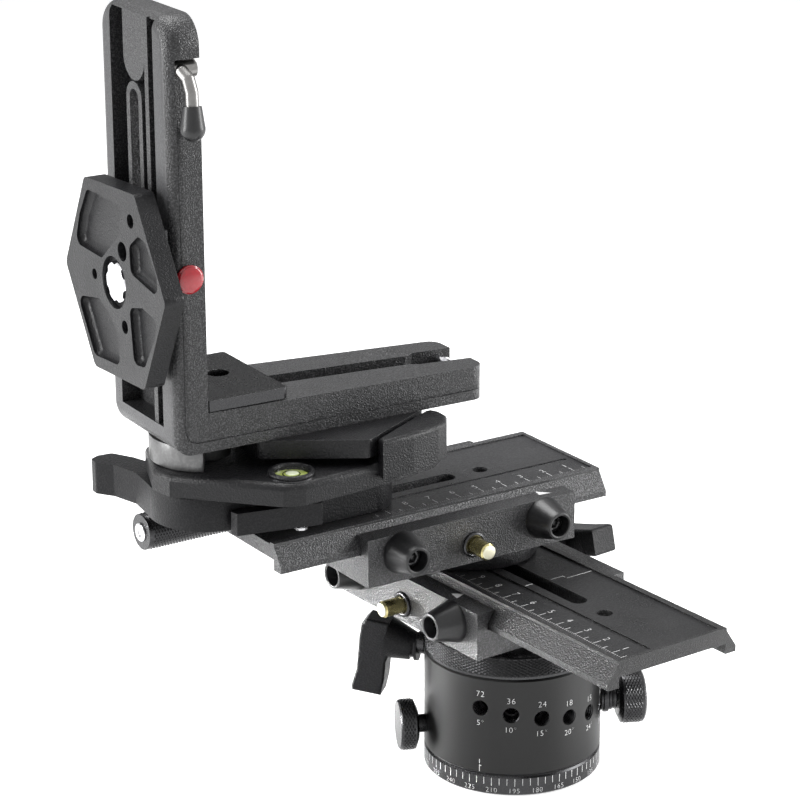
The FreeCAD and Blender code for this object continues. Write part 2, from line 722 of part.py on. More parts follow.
def make_plunger():
    """Spring plunger that drops into the drum's dimples, with its flanged collar."""
    frame = Frame(0, 0, plunger_level, plunger_bearing)
    collar_start = housing_bore
    collar_end = body_radius + collar_length
    flange_start = body_radius + collar_length * 0.17
    rib = collar_rib_radius
    collar = turned("collar_turned", [
        (collar_start, pin_radius + running_fit), (collar_start, hole_radius - running_fit),
        (body_radius + running_fit, hole_radius - running_fit), (body_radius + running_fit, rib),
        (flange_start, rib), (flange_start, collar_radius),
        (flange_start + collar_length * 0.3, collar_radius), (flange_start + collar_length * 0.34, rib - gap),
        (flange_start + collar_length * 0.42, rib), (flange_start + collar_length * 0.52, rib),
        (flange_start + collar_length * 0.57, rib - gap * 2), (flange_start + collar_length * 0.64, rib - gap),
        (collar_end, rib - gap), (collar_end, spring_radius + spring_wire + gap),
        (body_radius - 1.5, spring_radius + spring_wire + gap),
        (body_radius - 1.5, pin_radius + running_fit)], axis="H_Axis")
    node("plunger_collar", collar, frame)
    tip_start = drum_radius + tip_clear
    knob_start = collar_end + gap
    pin = turned("pin_turned", [
        (tip_start, 0), (tip_start, 0.6), (tip_start + 1.6, pin_radius),
        (knob_start + plunger_knob_length * 0.5, pin_radius),
        (knob_start + plunger_knob_length * 0.5, 0)], axis="H_Axis")
    node("plunger_pin", pin, frame)
    knob = turned("plunger_knob_turned", [
        (knob_start, pin_radius), (knob_start, plunger_knob_radius * 0.72),
        (knob_start + 1.2, plunger_knob_radius), (knob_start + plunger_knob_length - 0.8, plunger_knob_radius),
        (knob_start + plunger_knob_length, plunger_knob_radius - 0.9),
        (knob_start + plunger_knob_length, 0), (knob_start + plunger_knob_length * 0.5, 0),
        (knob_start + plunger_knob_length * 0.5, pin_radius)], axis="H_Axis")
    node("plunger_knob", knob, frame)
    spring_start = body_radius - 1.5 + spring_wire
    spring_length = collar_end - spring_start - spring_wire
    turn = Rotation(Vector(0, 0, 1), plunger_bearing.value)
    place = turn.multVec(Vector(spring_start.value, 0, 0)) + Vector(0, 0, plunger_level.value)
    spring = coil("plunger_coil", spring_radius, spring_wire, spring_turns, spring_length,
                  turn.multiply(AXIS_TURN["X"]), place)
    node("plunger_spring", spring)


# ----------------------------------------------------------------- slides

flank_slope = (foot_half - plate_half) / (plate_height - foot_rise - 1.0)


def make_plate(prefix, front, frame):
    """Scale plate: flared flanks, shallow tray, long screw slot and one tapped hole."""
    back = front - plate_length
    plate = new_body(prefix + "_plate_body")
    section = outline(plate, prefix + "_plate_section", "YZ_Plane", [
        (-plate_half, 0), (plate_half, 0), (plate_half, -1.0), (foot_half, -plate_height + foot_rise),
        (foot_half, -plate_height), (leg_half, -plate_height), (leg_half, -plate_web),
        (-leg_half, -plate_web), (-leg_half, -plate_height), (-foot_half, -plate_height),
        (-foot_half, -plate_height + foot_rise), (-plate_half, -1.0)], back)
    pad(plate, prefix + "_plate_pad", section, plate_length)
    tray = outline(plate, prefix + "_tray", "XY_Plane", [
        (back + 0.0, -plate_half + rim_width), (front - tray_lip, -plate_half + rim_width),
        (front - tray_lip, plate_half - rim_width), (back + 0.0, plate_half - rim_width)])
    pocket(plate, prefix + "_tray_pocket", tray, tray_depth)
    slot_start = front - slot_front
    slot_end = slot_start - slot_length
    slot = join(prefix + "_slot",
                block(prefix + "_slot_box", (slot_end + slot_half, slot_start - slot_half),
                      (-slot_half, slot_half), (-plate_height, 0 * slot_half + 1)),
                rod(prefix + "_slot_front", slot_half, plate_height + 1,
                    (slot_start - slot_half, 0, -plate_height)),
                rod(prefix + "_slot_back", slot_half, plate_height + 1,
                    (slot_end + slot_half, 0, -plate_height)))
    hole = rod(prefix + "_screw_hole", screw_hole_radius, plate_height + 1,
               (front - screw_hole_front, 0, -plate_height))
    strip_middle = (strip_near + strip_far) / -2
    strip_half = (strip_near - strip_far) / 2
    strip = join(prefix + "_strip",
                 block(prefix + "_strip_bar", (back - 1, front - strip_end - strip_half),
                       (-strip_near, -strip_far), (-strip_depth, 0 * gap + 1)),
                 rod(prefix + "_strip_round", strip_half, strip_depth + 1,
                     (front - strip_end - strip_half, strip_middle, -strip_depth)))
    node(prefix + "_plate", cut(prefix + "_plate_cut", plate, slot, hole, strip), frame)


def make_carriage(prefix, frame, hole_size, hole_depth):
    """Carriage that grips the plate's flared flanks and holds its own T-shaped rail."""
    front = carriage_front
    back = carriage_front - carriage_length
    floor = -plate_height - gap
    pocket_half = foot_half + gap
    shoulder = -plate_height + foot_rise + gap * 0.4
    lip_half = plate_half + flank_slope * (wall_drop - 1.0) + gap * 1.25
    rail_half = leg_half - gap
    rail_top = -plate_web - gap
    key_floor = rail_top - screw_head_height - gap * 2
    body = new_body(prefix + "_carriage_body")
    section = outline(body, prefix + "_carriage_section", "YZ_Plane", [
        (-carriage_half, -carriage_depth), (carriage_half, -carriage_depth),
        (carriage_half, -wall_drop), (lip_half, -wall_drop), (pocket_half, shoulder),
        (pocket_half, floor), (rail_half, floor), (rail_half, rail_top), (key_half, rail_top),
        (key_half, key_floor), (-key_half, key_floor), (-key_half, rail_top),
        (-rail_half, rail_top), (-rail_half, floor), (-pocket_half, floor),
        (-pocket_half, shoulder), (-lip_half, -wall_drop), (-carriage_half, -wall_drop)], back)
    pad(body, prefix + "_carriage_pad", section, carriage_length)
    middle = front - carriage_length / 2
    button_hole = rod(prefix + "_button_hole", button_radius + running_fit, button_travel + 8,
                      (middle, -carriage_half - 1, -button_drop), "Y")
    stem_hole = rod(prefix + "_stem_hole", button_stem_radius + running_fit, carriage_half * 2,
                    (middle, -carriage_half, -button_drop), "Y")
    seat_hole = rod(prefix + "_seat_hole", hole_size, hole_depth, (0, 0, -carriage_depth))
    stud_hole = rod(prefix + "_lock_hole", lever_stud_radius + running_fit, carriage_half,
                    (-slide_lever_place, foot_half, -worm_drop), "Y")
    worm_room = rod(prefix + "_worm_room", worm_radius + gap, block_length - 3,
                    (back + 3, worm_offset, -worm_drop), "X")
    shaft_room = rod(prefix + "_shaft_room", worm_shaft_radius + running_fit, 5,
                     (back - 1, worm_offset, -worm_drop), "X")
    shaped = cut(prefix + "_carriage_cut", body, button_hole, stem_hole, seat_hole, stud_hole, worm_room,
                 shaft_room)
    node(prefix + "_carriage", shaped, frame)


def make_cones(prefix, frame):
    """Two tapered rubber caps over the carriage's clamp screws."""
    middle = carriage_front - carriage_length / 2
    caps = []
    for index, shift in enumerate((-cone_spacing / 2, cone_spacing / 2)):
        name = "%s_cone_%d" % (prefix, index)
        cone = taper(name, cone_base_radius, cone_tip_radius, cone_length,
                     (middle + shift, -carriage_half, -cone_drop), "Y")
        cone.Placement = Placement(cone.Placement.Base, Rotation(Vector(1, 0, 0), 90))
        bore = rod(name + "_bore", cone_bore_radius, cone_length * 0.6,
                   (middle + shift, -carriage_half - cone_length, -cone_drop), "Y")
        caps.append(cut(name + "_hollow", cone, bore))
    pair = doc.addObject("Part::Compound", prefix + "_cone_pair")
    pair.Links = caps
    node(prefix + "_cone_caps", pair, frame)


def make_release(prefix, frame):
    """Brass push button with a stem under the plate, and its return spring."""
    seat = frame.beyond(carriage_front - carriage_length / 2, 0, -button_drop, frame.angle)
    start = -carriage_half - button_length
    shoulder = -carriage_half + 1.5
    button = turned(prefix + "_button_turned", [
        (0, start), (button_radius - 0.7, start), (button_radius, start + 0.7),
        (button_radius, shoulder), (button_stem_radius, shoulder),
        (button_stem_radius, foot_half - button_travel - 1), (0, foot_half - button_travel - 1)],
        role="XY_Plane")
    node(prefix + "_release_button", button, seat)
    room_end = -carriage_half - 1 + button_travel + 8
    length = room_end - shoulder - button_travel - spring_wire * 2 - 0.2
    spring_place = seat.beyond(0, shoulder + button_travel + spring_wire + 0.1, 0, 0)
    spring = coil(prefix + "_button_coil", button_stem_radius + spring_wire + 0.3, spring_wire, 4, length,
                  Rotation(Vector(0, 0, 1), number(frame.angle)).multiply(AXIS_TURN["Y"]),
                  Vector(number(spring_place.x), number(spring_place.y), number(spring_place.z)))
    node(prefix + "_button_spring", spring)


def make_slide_lock(prefix, frame):
    """Lock lever on the far side of the carriage, with its stud that presses on the plate."""
    tilt = math.radians(slide_lever_tilt.value)
    turn = Rotation(Vector(0, 1, 0), Vector(math.sin(tilt), 0, -math.cos(tilt)),
                    Vector(-math.cos(tilt), 0, -math.sin(tilt)), "XYZ")
    seat = frame.beyond(-slide_lever_place, carriage_half + gap, -worm_drop, frame.angle)
    node(prefix + "_lock_lever", lever_handle(prefix + "_lever"), seat, turn)
    start = foot_half + gap - carriage_half
    stud = join(prefix + "_stud",
                rod(prefix + "_stud_rod", lever_stud_radius, lever_hub_length * 0.7 - start - 0.5,
                    (start + 0.5, 0, 0), "X"),
                taper(prefix + "_stud_tip", lever_stud_radius * 0.7, lever_stud_radius, 0.5,
                      (start, 0, 0), "X"))
    node(prefix + "_lock_stud", stud, seat, turn)


def make_worm(prefix, frame):
    """Fine-feed worm beside the plate, its bearing block and its long knurled knob."""
    back = carriage_front - carriage_length
    start = back - worm_reach
    block_end = back + block_length
    thread_start = back + 3
    worm = join(prefix + "_worm_piece",
                rod(prefix + "_worm_shaft", worm_shaft_radius, worm_reach + block_length - 1,
                    (start, worm_offset, -worm_drop), "X"),
                rod(prefix + "_worm_thread", worm_radius, block_length - 3 - gap * 4,
                    (thread_start + gap * 2, worm_offset, -worm_drop), "X"))
    node(prefix + "_worm", worm, frame)
    knob = cut(prefix + "_worm_knob_piece",
               rod(prefix + "_worm_knob_rod", worm_knob_radius, worm_knob_length,
                   (start, worm_offset, -worm_drop), "X"),
               rod(prefix + "_worm_knob_bore", worm_shaft_radius, worm_knob_length,
                   (start, worm_offset, -worm_drop), "X"))
    node(prefix + "_worm_knob", knob, frame)
    housing = block(prefix + "_block_box", (back, block_end), (carriage_half, block_half),
                    (-carriage_depth, -wall_drop))
    shaft_room = rod(prefix + "_block_bore", worm_shaft_radius + running_fit, block_length,
                     (back, worm_offset, -worm_drop), "X")
    thread_room = rod(prefix + "_block_room", worm_radius + gap, block_length - 3,
                      (thread_start, worm_offset, -worm_drop), "X")
    shaped = cut(prefix + "_block_cut", housing, shaft_room, thread_room)
    node(prefix + "_worm_block", shaped, frame)


def make_slide(prefix, front, frame, hole_size, hole_depth):
    """One whole slide: plate, carriage, caps, release button, worm and lock lever."""
    make_plate(prefix, front, frame)
    make_carriage(prefix, frame, hole_size, hole_depth)
    make_cones(prefix, frame)
    make_release(prefix, frame)
    make_worm(prefix, frame)
    make_slide_lock(prefix, frame)


def make_cross_joint(lower, upper):
    """Riser disc and screw that stand the upper slide on the lower plate."""
    centre = Frame(0, upper_shift, 0, 0)
    riser = tube("riser_tube", riser_radius, stage_screw_radius, riser_height, (0, 0, lower_top))
    node("upper_riser", riser, centre)
    screw = join("upper_screw",
                 rod("upper_screw_rod", stage_screw_radius,
                     plate_web + riser_height + stud_rise, (0, 0, lower_top - plate_web)),
                 rod("upper_screw_head", screw_head_radius, screw_head_height,
                     (0, 0, lower_top - plate_web - screw_head_height)))
    node("upper_mount_screw", screw, centre)


# ------------------------------------------------------------------ clamp

def prism(name, points, bottom, height, role="XY_Plane"):
    """A straight-sided prism over a closed outline."""
    body = new_body(name)
    pad(body, name + "_pad", outline(body, name + "_outline", role, points, bottom), height)
    return body


def hexagon(corner, first, centre=(0, 0)):
    """Six corners at a distance from a centre, the first one at an angle in degrees."""
    points = []
    for index in range(6):
        angle = math.radians(first + 60 * index)
        points.append((centre[0] + corner * math.cos(angle), centre[1] + corner * math.sin(angle)))
    return points


def make_clamp(frame):
    """Quick-release clamp: base, jaw plate, lock lever with its cam, safety tab and bubble level."""
    plate_bottom = clamp_base_height
    plate_top = clamp_base_height + clamp_thick
    base = rounded("clamp_base_soft",
                   block("clamp_base_box", (clamp_base_back, clamp_base_front),
                         (-clamp_base_half, clamp_base_half), (0 * gap, clamp_base_height)),
                   11, lambda edge: is_upright(edge) and edge.CenterOfMass.x > clamp_base_front.value - 1)
    base_cut = cut("clamp_base_bored", base,
                   rod("clamp_base_bore", stage_screw_radius, clamp_screw_grip, (clamp_screw_place, 0, 0)))
    node("adapter_base", base_cut, frame)
    screw = join("clamp_screw",
                 rod("clamp_screw_rod", stage_screw_radius, plate_web + clamp_screw_grip,
                     (clamp_screw_place, 0, -plate_web)),
                 rod("clamp_screw_head", screw_head_radius, screw_head_height,
                     (clamp_screw_place, 0, -plate_web - screw_head_height)))
    node("adapter_screw", screw, frame)

    table = prism("jaw_plate", [
        (-42.0, 5.0), (-40.5, -4.0), (-13.5, -34.0), (-6.0, -36.5), (12.0, -35.5), (33.0, -33.8),
        (50.0, -29.8), (57.0, -24.5), (58.5, -16.0), (50.0, -4.0), (44.0, 12.0), (34.0, 31.0),
        (20.0, 38.0), (-12.0, 38.0), (-33.0, 27.0)], plate_bottom, clamp_thick)
    table_soft = rounded("jaw_plate_soft", table, clamp_soft,
                         lambda edge: edge.BoundBox.ZMin > plate_top.value - 0.1)
    jaw = prism("jaw", [
        (25.6, -32.3), (24.6, -37.0), (38.0, -35.8), (50.0, -33.0), (55.6, -29.8), (58.8, -25.2),
        (59.2, -20.2), (57.6, -16.6), (55.2, -16.5)], plate_bottom + jaw_rise, jaw_height)
    jaw_soft = rounded("jaw_soft", jaw, 1.6, lambda edge: edge.BoundBox.ZMin > number(plate_top) + 1)
    foot_turn = math.radians(bracket_yaw.value - upper_yaw.value)
    foot_x = foot_place * math.cos(foot_turn) - foot_side * math.sin(foot_turn)
    foot_y = foot_place * math.sin(foot_turn) + foot_side * math.cos(foot_turn)
    seat = prism("seat", hexagon(seat_corner, 30 + math.degrees(foot_turn), (foot_x, foot_y)),
                 plate_top, seat_height)
    head_room = rod("foot_screw_room", screw_head_radius + gap, screw_head_height + gap,
                    (foot_x, foot_y, plate_top + seat_height - screw_head_height - gap))
    level_room = rod("level_room", level_radius, level_depth,
                     (-level_back, -level_side, plate_top + level_proud - level_depth))
    pivot_hole = rod("lock_pin_hole", lock_pin_radius + running_fit, clamp_thick,
                     (-lock_back, lock_side, plate_bottom))
    tab_hole = rod("tab_pin_hole", tab_pin_radius, 3, (1, -tab_pin_side, plate_bottom))
    shaped = cut("jaw_plate_cut", join("jaw_plate_whole", table_soft, jaw_soft, seat),
                 head_room, level_room, pivot_hole, tab_hole)
    node("adapter_body", shaped, frame)

    pivot = frame.beyond(-lock_back, lock_side, 0, frame.angle)
    arm = prism("lock_arm", [
        (-20.4, 2.0), (-17.6, 20.0), (-20.4, 31.0), (-24.5, 37.0), (-24.0, 41.0), (-20.5, 43.0),
        (-15.0, 42.5), (-10.5, 34.0), (-7.0, 22.0), (-5.0, 16.0), (0, 0)], lock_level, lock_thick)
    arm_soft = rounded("lock_arm_soft", arm, 1.5,
                       lambda edge: is_upright(edge) and edge.CenterOfMass.y > 10)
    lever = cut("lock_lever_bored",
                join("lock_lever_whole", rod("lock_hub", lock_hub_radius, lock_thick, (0, 0, lock_level)),
                     arm_soft),
                rod("lock_hub_bore", lock_pin_radius, lock_thick, (0, 0, lock_level)))
    node("clamp_lever", lever, pivot)
    cam_bottom = plate_top + gap
    cam_top = plate_top + seat_height + foot_thick - gap
    away = [(0, 0)] + [(60 * math.cos(math.radians(angle)), 60 * math.sin(math.radians(angle)))
                       for angle in (-123, -80, -30, 30, 80, 95)]
    sector = cut("cam_sector", rod("cam_disc", cam_radius, cam_top - cam_bottom, (0, 0, cam_bottom)),
                 prism("cam_away", away, cam_bottom - 1, cam_top - cam_bottom + 2))
    cam = join("cam", sector, rod("cam_core_rod", cam_core, cam_top - cam_bottom, (0, 0, cam_bottom)),
               rod("cam_pin", lock_pin_radius, cam_bottom - lock_level, (0, 0, lock_level)))
    node("clamp_cam", cam, pivot)

    tab_seat = frame.beyond(1, -tab_pin_side, 0, frame.angle)
    tab = prism("tab_bar", [
        (-24.3, 6.8), (-23.3, 3.0), (-14.6, 1.2), (7.0, -3.6), (7.4, 1.4), (-13.5, 6.4)],
        tab_level, tab_thick)
    tab_soft = rounded("tab_soft", tab, 0.8, is_upright)
    node("safety_tab", cut("tab_bored", tab_soft,
                           rod("tab_bore", tab_pin_radius + running_fit, tab_thick, (0, 0, tab_level))),
         tab_seat)
    head_level = tab_level - gap - 0.8
    tab_pin = rod("tab_pin_rod", tab_pin_radius, plate_bottom + 3 - head_level, (0, 0, head_level))
    node("tab_pin", join("tab_pin_whole", tab_pin,
                         rod("tab_pin_head", tab_pin_radius + 0.8, 0.8, (0, 0, head_level))),
         tab_seat)

    level_seat = frame.beyond(-level_back, -level_side, plate_top + level_proud - level_depth, frame.angle)
    cup = turned("level_cup_turned", [
        (0, 0), (level_radius, 0), (level_radius, level_depth - 0.5), (level_radius - 0.5, level_depth),
        (level_glass_radius, level_depth), (level_glass_radius, 1.2), (0, 1.2)])
    node("level_cup", cup, level_seat)
    vial = turned("level_vial_turned", [
        (0, 1.2), (level_glass_radius, 1.2), (level_glass_radius, level_depth - 0.9),
        (level_glass_radius * 0.6, level_depth - 0.5), (0, level_depth - 0.4)])
    node("level_vial", vial, level_seat)


# ---------------------------------------------------------------- bracket

def channel_edge(at_axis, forward):
    """Side position of one edge of the arm's skewed channel, some way along the arm."""
    return at_axis - channel_slope * forward


def make_foot(frame):
    """Hexagonal quick-release foot and the screw that holds it under the bracket."""
    foot = prism("foot_hexagon", hexagon(foot_corner, 30, (foot_place, foot_side)), -foot_thick, foot_thick)
    foot_soft = rounded("foot_soft", foot, foot_round, is_upright)
    node("foot_plate", cut("foot_bored", foot_soft,
                           rod("foot_bore", stage_screw_radius, foot_thick,
                               (foot_place, foot_side, -foot_thick))), frame)
    screw = join("foot_screw_whole",
                 rod("foot_screw_rod", stage_screw_radius, foot_thick + foot_screw_grip,
                     (foot_place, foot_side, -foot_thick)),
                 rod("foot_screw_head", screw_head_radius, screw_head_height,
                     (foot_place, foot_side, -foot_thick - screw_head_height)))
    node("foot_screw", screw, frame)


def make_bracket(frame):
    """L-shaped bracket: a slotted arm and a post with a keyed face, a keyhole slot and a boss."""
    post_back = -post_front + post_depth
    profile = new_body("bracket_profile")
    section = outline(profile, "bracket_section", "XZ_Plane", [
        (-post_front, 0), (arm_length, 0), (arm_length, arm_depth - arm_end_drop),
        (post_back, arm_depth), (post_back, post_height), (-post_front, post_height)], -post_far)
    pad(profile, "bracket_pad", section, post_far + arm_near)
    wedge = prism("bracket_wedge", [
        (post_back, arm_root_far), (arm_waist, arm_waist_far), (arm_length + 1, arm_end_far),
        (arm_length + 1, post_far + 1),
        (post_back, post_far + 1)], -1, arm_depth + 1)
    blank = cut("bracket_blank", profile, wedge)
    top_soft = rounded("bracket_top_soft", blank, post_corner,
                       lambda edge: is_lengthwise(edge) and edge.CenterOfMass.z > post_height.value - 1)
    heel_soft = rounded("bracket_heel_soft", top_soft, 7.0,
                        lambda edge: is_lengthwise(edge) and edge.CenterOfMass.z < 1
                        and edge.CenterOfMass.y > post_far.value - 1)
    ends_soft = rounded("bracket_ends_soft", heel_soft, arm_soft,
                        lambda edge: (is_crosswise(edge) and edge.CenterOfMass.z < 1
                                      and edge.CenterOfMass.x < -post_front.value + 1)
                        or (is_upright(edge) and edge.CenterOfMass.x > arm_length.value - 1))
    doc.recompute()

    near_end = channel_edge(channel_near, channel_flare)
    far_end = channel_edge(channel_far, channel_flare)
    channel = prism("arm_channel", [
        (post_back + 6, channel_edge(channel_near, post_back + 6)),
        (channel_flare - 5, channel_edge(channel_near, channel_flare - 5)),
        (channel_flare, near_end - 1.6), (arm_length + 1, near_end - 4.0),
        (arm_length + 1, far_end + 0.8), (channel_flare + 4, far_end + 2.0), (channel_flare, far_end),
        (post_back + 6, channel_edge(channel_far, post_back + 6))],
        arm_depth - channel_depth, channel_depth + 1)
    slot_wall = 1.4
    slot = prism("arm_slot", [
        (post_back + 12, channel_edge(channel_near, post_back + 12) + slot_wall),
        (arm_length - 20, channel_edge(channel_near, arm_length - 20) + slot_wall),
        (arm_length - 20, channel_edge(channel_far, arm_length - 20) - slot_wall),
        (post_back + 12, channel_edge(channel_far, post_back + 12) - slot_wall)],
        -1 + 0 * gap, arm_depth)
    inner_near = -arm_near + post_near_flange
    inner_far = post_far - post_far_flange
    face_bottom = keyhole_bottom - 16
    face_top = post_height - post_roof
    floor = -post_front + post_channel_depth
    relief = -post_front + gap
    face = block("post_face", (-post_front - 1, floor), (inner_near, inner_far), (face_bottom, face_top))
    boss_middle = boss_bottom + boss_half
    round_middle = keyhole_top - keyhole_half
    rim_half = keyhole_half + keyhole_rim
    raised = join("post_raised",
                  block("boss_bar", (relief, floor + 1), (boss_side - boss_half, boss_side + boss_half),
                        (boss_middle, face_top + 0.5)),
                  rod("boss_end", boss_half, post_channel_depth - gap + 1, (relief, boss_side, boss_middle), "X"),
                  block("post_rail", (relief, floor + 1), (rail_near, rail_far),
                        (face_bottom - 0.5, face_top + 0.5)),
                  block("keyhole_rims", (relief, floor + 1), (keyhole_side - rim_half, keyhole_side + rim_half),
                        (keyhole_bottom - keyhole_rim, round_middle)),
                  rod("keyhole_rim_end", rim_half, post_channel_depth - gap + 1,
                      (relief, keyhole_side, round_middle), "X"))
    keyhole = join("keyhole",
                   block("keyhole_bar", (-post_front - 1, post_back + 1),
                         (keyhole_side - keyhole_half, keyhole_side + keyhole_half),
                         (keyhole_bottom, round_middle)),
                   rod("keyhole_end", keyhole_half, post_depth + 2,
                       (-post_front - 1, keyhole_side, round_middle), "X"))
    notch = block("side_notch", (post_back - notch_length, post_back + 1),
                  (-arm_near - 1, -arm_near + notch_depth), (notch_bottom, notch_bottom + notch_height))
    cap_hole = rod("cap_hole", cap_radius - 1.5, 2, (post_back - cap_back, -arm_near, cap_level), "Y")
    pin_start = near_end - 7.5
    pin_reach = channel_far - channel_near + 12
    pin_level = arm_depth - arm_end_drop - 3.4
    pin_hole = rod("cross_pin_hole", cross_pin_radius, pin_reach, (arm_length - 5, pin_start, pin_level), "Y")
    border = -post_front + near_border
    groove = prism("near_groove_outline", [
        (arm_length + 1, 3.7), (arm_length + 1, 5.5), (arm_length - 22, 4.6), (border + 4.6, 4.4),
        (border + 1.6, 5.6), (border + 0.6, 8.6), (border + 0.6, notch_bottom + 1),
        (border, notch_bottom + 1), (border, 8.2), (border + 1.2, 5.0), (border + 4.4, 3.7)],
        arm_near - near_groove, near_groove + 1, "XZ_Plane")
    screw_hole = rod("foot_screw_hole", stage_screw_radius, foot_screw_grip, (foot_place, foot_side, 0))
    shaped = cut("bracket_cut",
                 join("bracket_with_relief", cut("bracket_faced", ends_soft, face), raised),
                 channel, slot, keyhole, notch, cap_hole, pin_hole, groove, screw_hole)
    node("l_bracket", shaped, frame)

    pin = rod("cross_pin", cross_pin_radius, pin_reach, (arm_length - 5, pin_start, pin_level), "Y")
    node("arm_end_pin", join("cross_pin_whole", pin,
                             rod("cross_pin_ring", cross_pin_radius + 0.5, 1.2,
                                 (arm_length - 5, near_end + 4.5, pin_level), "Y")), frame)
    cap = turned("side_cap_turned", [
        (0, 2), (cap_radius - 1.5, 2), (cap_radius - 1.5, 0), (cap_radius, 0),
        (cap_radius, -cap_height + 0.4), (cap_radius - 0.5, -cap_height), (0, -cap_height)], role="XY_Plane")
    node("side_cap", cap, frame.beyond(post_back - cap_back, -arm_near, cap_level, frame.angle))

    stop = rounded("stop_soft",
                   block("stop_box", (post_back + 0.8, post_back + 0.8 + stop_length),
                         (-stop_near, stop_far), (arm_depth + 0.1, arm_depth + stop_thick)),
                   1.5, lambda edge: is_upright(edge) and edge.CenterOfMass.x > -3)
    stop_key = block("stop_key", (-7.6 + 0 * gap, -2.0 + 0 * gap), (4.1 + 0 * gap, 8.8 + 0 * gap),
                     (arm_depth - 3, arm_depth + 1))
    stop_hole = rod("stop_hole", stop_hole_radius, 10, (-stop_hole_back, stop_hole_side, arm_depth - 4))
    node("stop_plate", cut("stop_cut", join("stop_whole", stop, stop_key), stop_hole), frame)


def make_camera_plate(frame):
    """Hexagonal camera plate on a keyed carrier that climbs the post, with its screw and nut."""
    post_back = -post_front + post_depth
    carrier_back = -post_front - 0.2
    carrier_front = -post_front - carrier_gap - 0.2
    plate_front = carrier_front - camera_thick
    bolt_side = keyhole_side - camera_side
    seat = frame.beyond(0, camera_side, camera_height, frame.angle)
    plate = new_body("camera_hexagon")
    points = []
    for index in range(6):
        angle = math.radians(60 * index + camera_roll.value)
        points.append((camera_corner * math.cos(angle), camera_corner * math.sin(angle)))
    pad(plate, "camera_hexagon_pad", outline(plate, "camera_outline", "YZ_Plane", points, plate_front),
        camera_thick)
    plate_soft = rounded("camera_soft", plate, camera_round, is_lengthwise)
    recess = rod("camera_recess", camera_recess_radius, camera_head_height + 0.3, (plate_front, 0, 0), "X")
    bore = rod("camera_bore", camera_screw_radius + running_fit, camera_thick, (plate_front, 0, 0), "X")
    hollows = []
    for index, (side, up, size) in enumerate(((15.1, -0.7, 1.9), (-7.1, 12.4, 3.3), (-14.0, 24.3, 2.4),
                                              (-7.3, -13.7, 2.3))):
        hollows.append(rod("camera_socket_%d" % index, size, 3.6, (plate_front, side, up), "X"))
    for index, points in enumerate((
            [(19.0, 28.0), (-4.8, 28.6), (-7.6, 26.6), (-4.6, 17.0), (9.0, 6.4), (29.6, 7.0), (25.5, 18.0)],
            [(29.4, -11.7), (12.6, -8.6), (5.4, -11.4), (-1.6, -17.5), (-2.6, -28.6), (17.4, -30.0)],
            [(-11.2, -6.0), (-21.0, -3.6), (-32.2, -5.4), (-29.6, -12.0), (-21.6, -24.0), (-13.4, -25.0)],
            [(-13.0, 6.4), (-12.6, 15.6), (-19.4, 20.4), (-24.4, 19.8), (-32.4, 9.8), (-32.8, 3.0)])):
        name = "camera_hollow_%d" % index
        bowl = prism(name, points, plate_front - 1, camera_hollow + 1, "YZ_Plane")
        edges = rounded(name + "_walls", bowl, 3.0, is_lengthwise)
        deep = number(plate_front + camera_hollow)
        hollows.append(rounded(name + "_floor", edges, 2.2,
                               lambda edge, deep=deep: edge.BoundBox.XMin > deep - 0.01))
    nut_room = rod("camera_nut_room", carrier_bolt_radius + 3, 3.2, (carrier_front - 3.2, bolt_side, 0), "X")
    node("camera_plate", cut("camera_cut", plate_soft, recess, bore, nut_room, *hollows), seat)
    head_front = plate_front + camera_head_sunk
    screw = turned("camera_screw_turned", [
        (head_front, 0), (head_front, camera_head_radius - 0.4), (head_front + 0.4, camera_head_radius),
        (plate_front + camera_head_height, camera_head_radius),
        (plate_front + camera_head_height, camera_screw_radius),
        (carrier_front - 3.4, camera_screw_radius), (carrier_front - 3.4, 0)], axis="H_Axis")
    grips = []
    for index in range(6):
        angle = math.radians(60 * index + 25)
        grips.append(rod("camera_grip_%d" % index, camera_grip_radius, camera_head_height,
                         (head_front - 0.5, camera_grip_place * math.cos(angle),
                          camera_grip_place * math.sin(angle)), "X"))
    screw = cut("camera_screw_cut", screw, *grips)
    node("camera_screw", screw, seat)

    inner_near = -arm_near + post_near_flange
    inner_far = post_far - post_far_flange
    rim_far = keyhole_side + keyhole_half + keyhole_rim
    key_span = (-carrier_height / 2 + 4, carrier_height / 2 - 4)
    key_depth = (carrier_back - 1, -post_front + post_channel_depth - 1)
    carrier = join("carrier_whole",
                   block("carrier_box", (carrier_front, carrier_back), (-carrier_half, carrier_half),
                         (-carrier_height / 2, carrier_height / 2)),
                   block("carrier_far_key", key_depth,
                         (rim_far - camera_side + gap, inner_far - camera_side - gap), key_span),
                   block("carrier_near_key", key_depth,
                         (inner_near - camera_side + gap, rail_near - camera_side - gap), key_span))
    node("plate_carrier", cut("carrier_bored", carrier,
                              rod("carrier_bore", carrier_bolt_radius, 10, (carrier_front - 1, bolt_side, 0), "X")),
         seat)
    bolt = join("carrier_bolt",
                rod("carrier_bolt_rod", carrier_bolt_radius,
                    post_back + gap + carrier_nut_thick - carrier_front, (carrier_front, bolt_side, 0), "X"),
                rod("carrier_bolt_head", carrier_bolt_radius + 2.8, 3, (carrier_front - 3, bolt_side, 0), "X"),
                rod("carrier_nut", carrier_nut_radius, carrier_nut_thick, (post_back + gap, bolt_side, 0), "X"))
    node("carrier_bolt", bolt, seat)


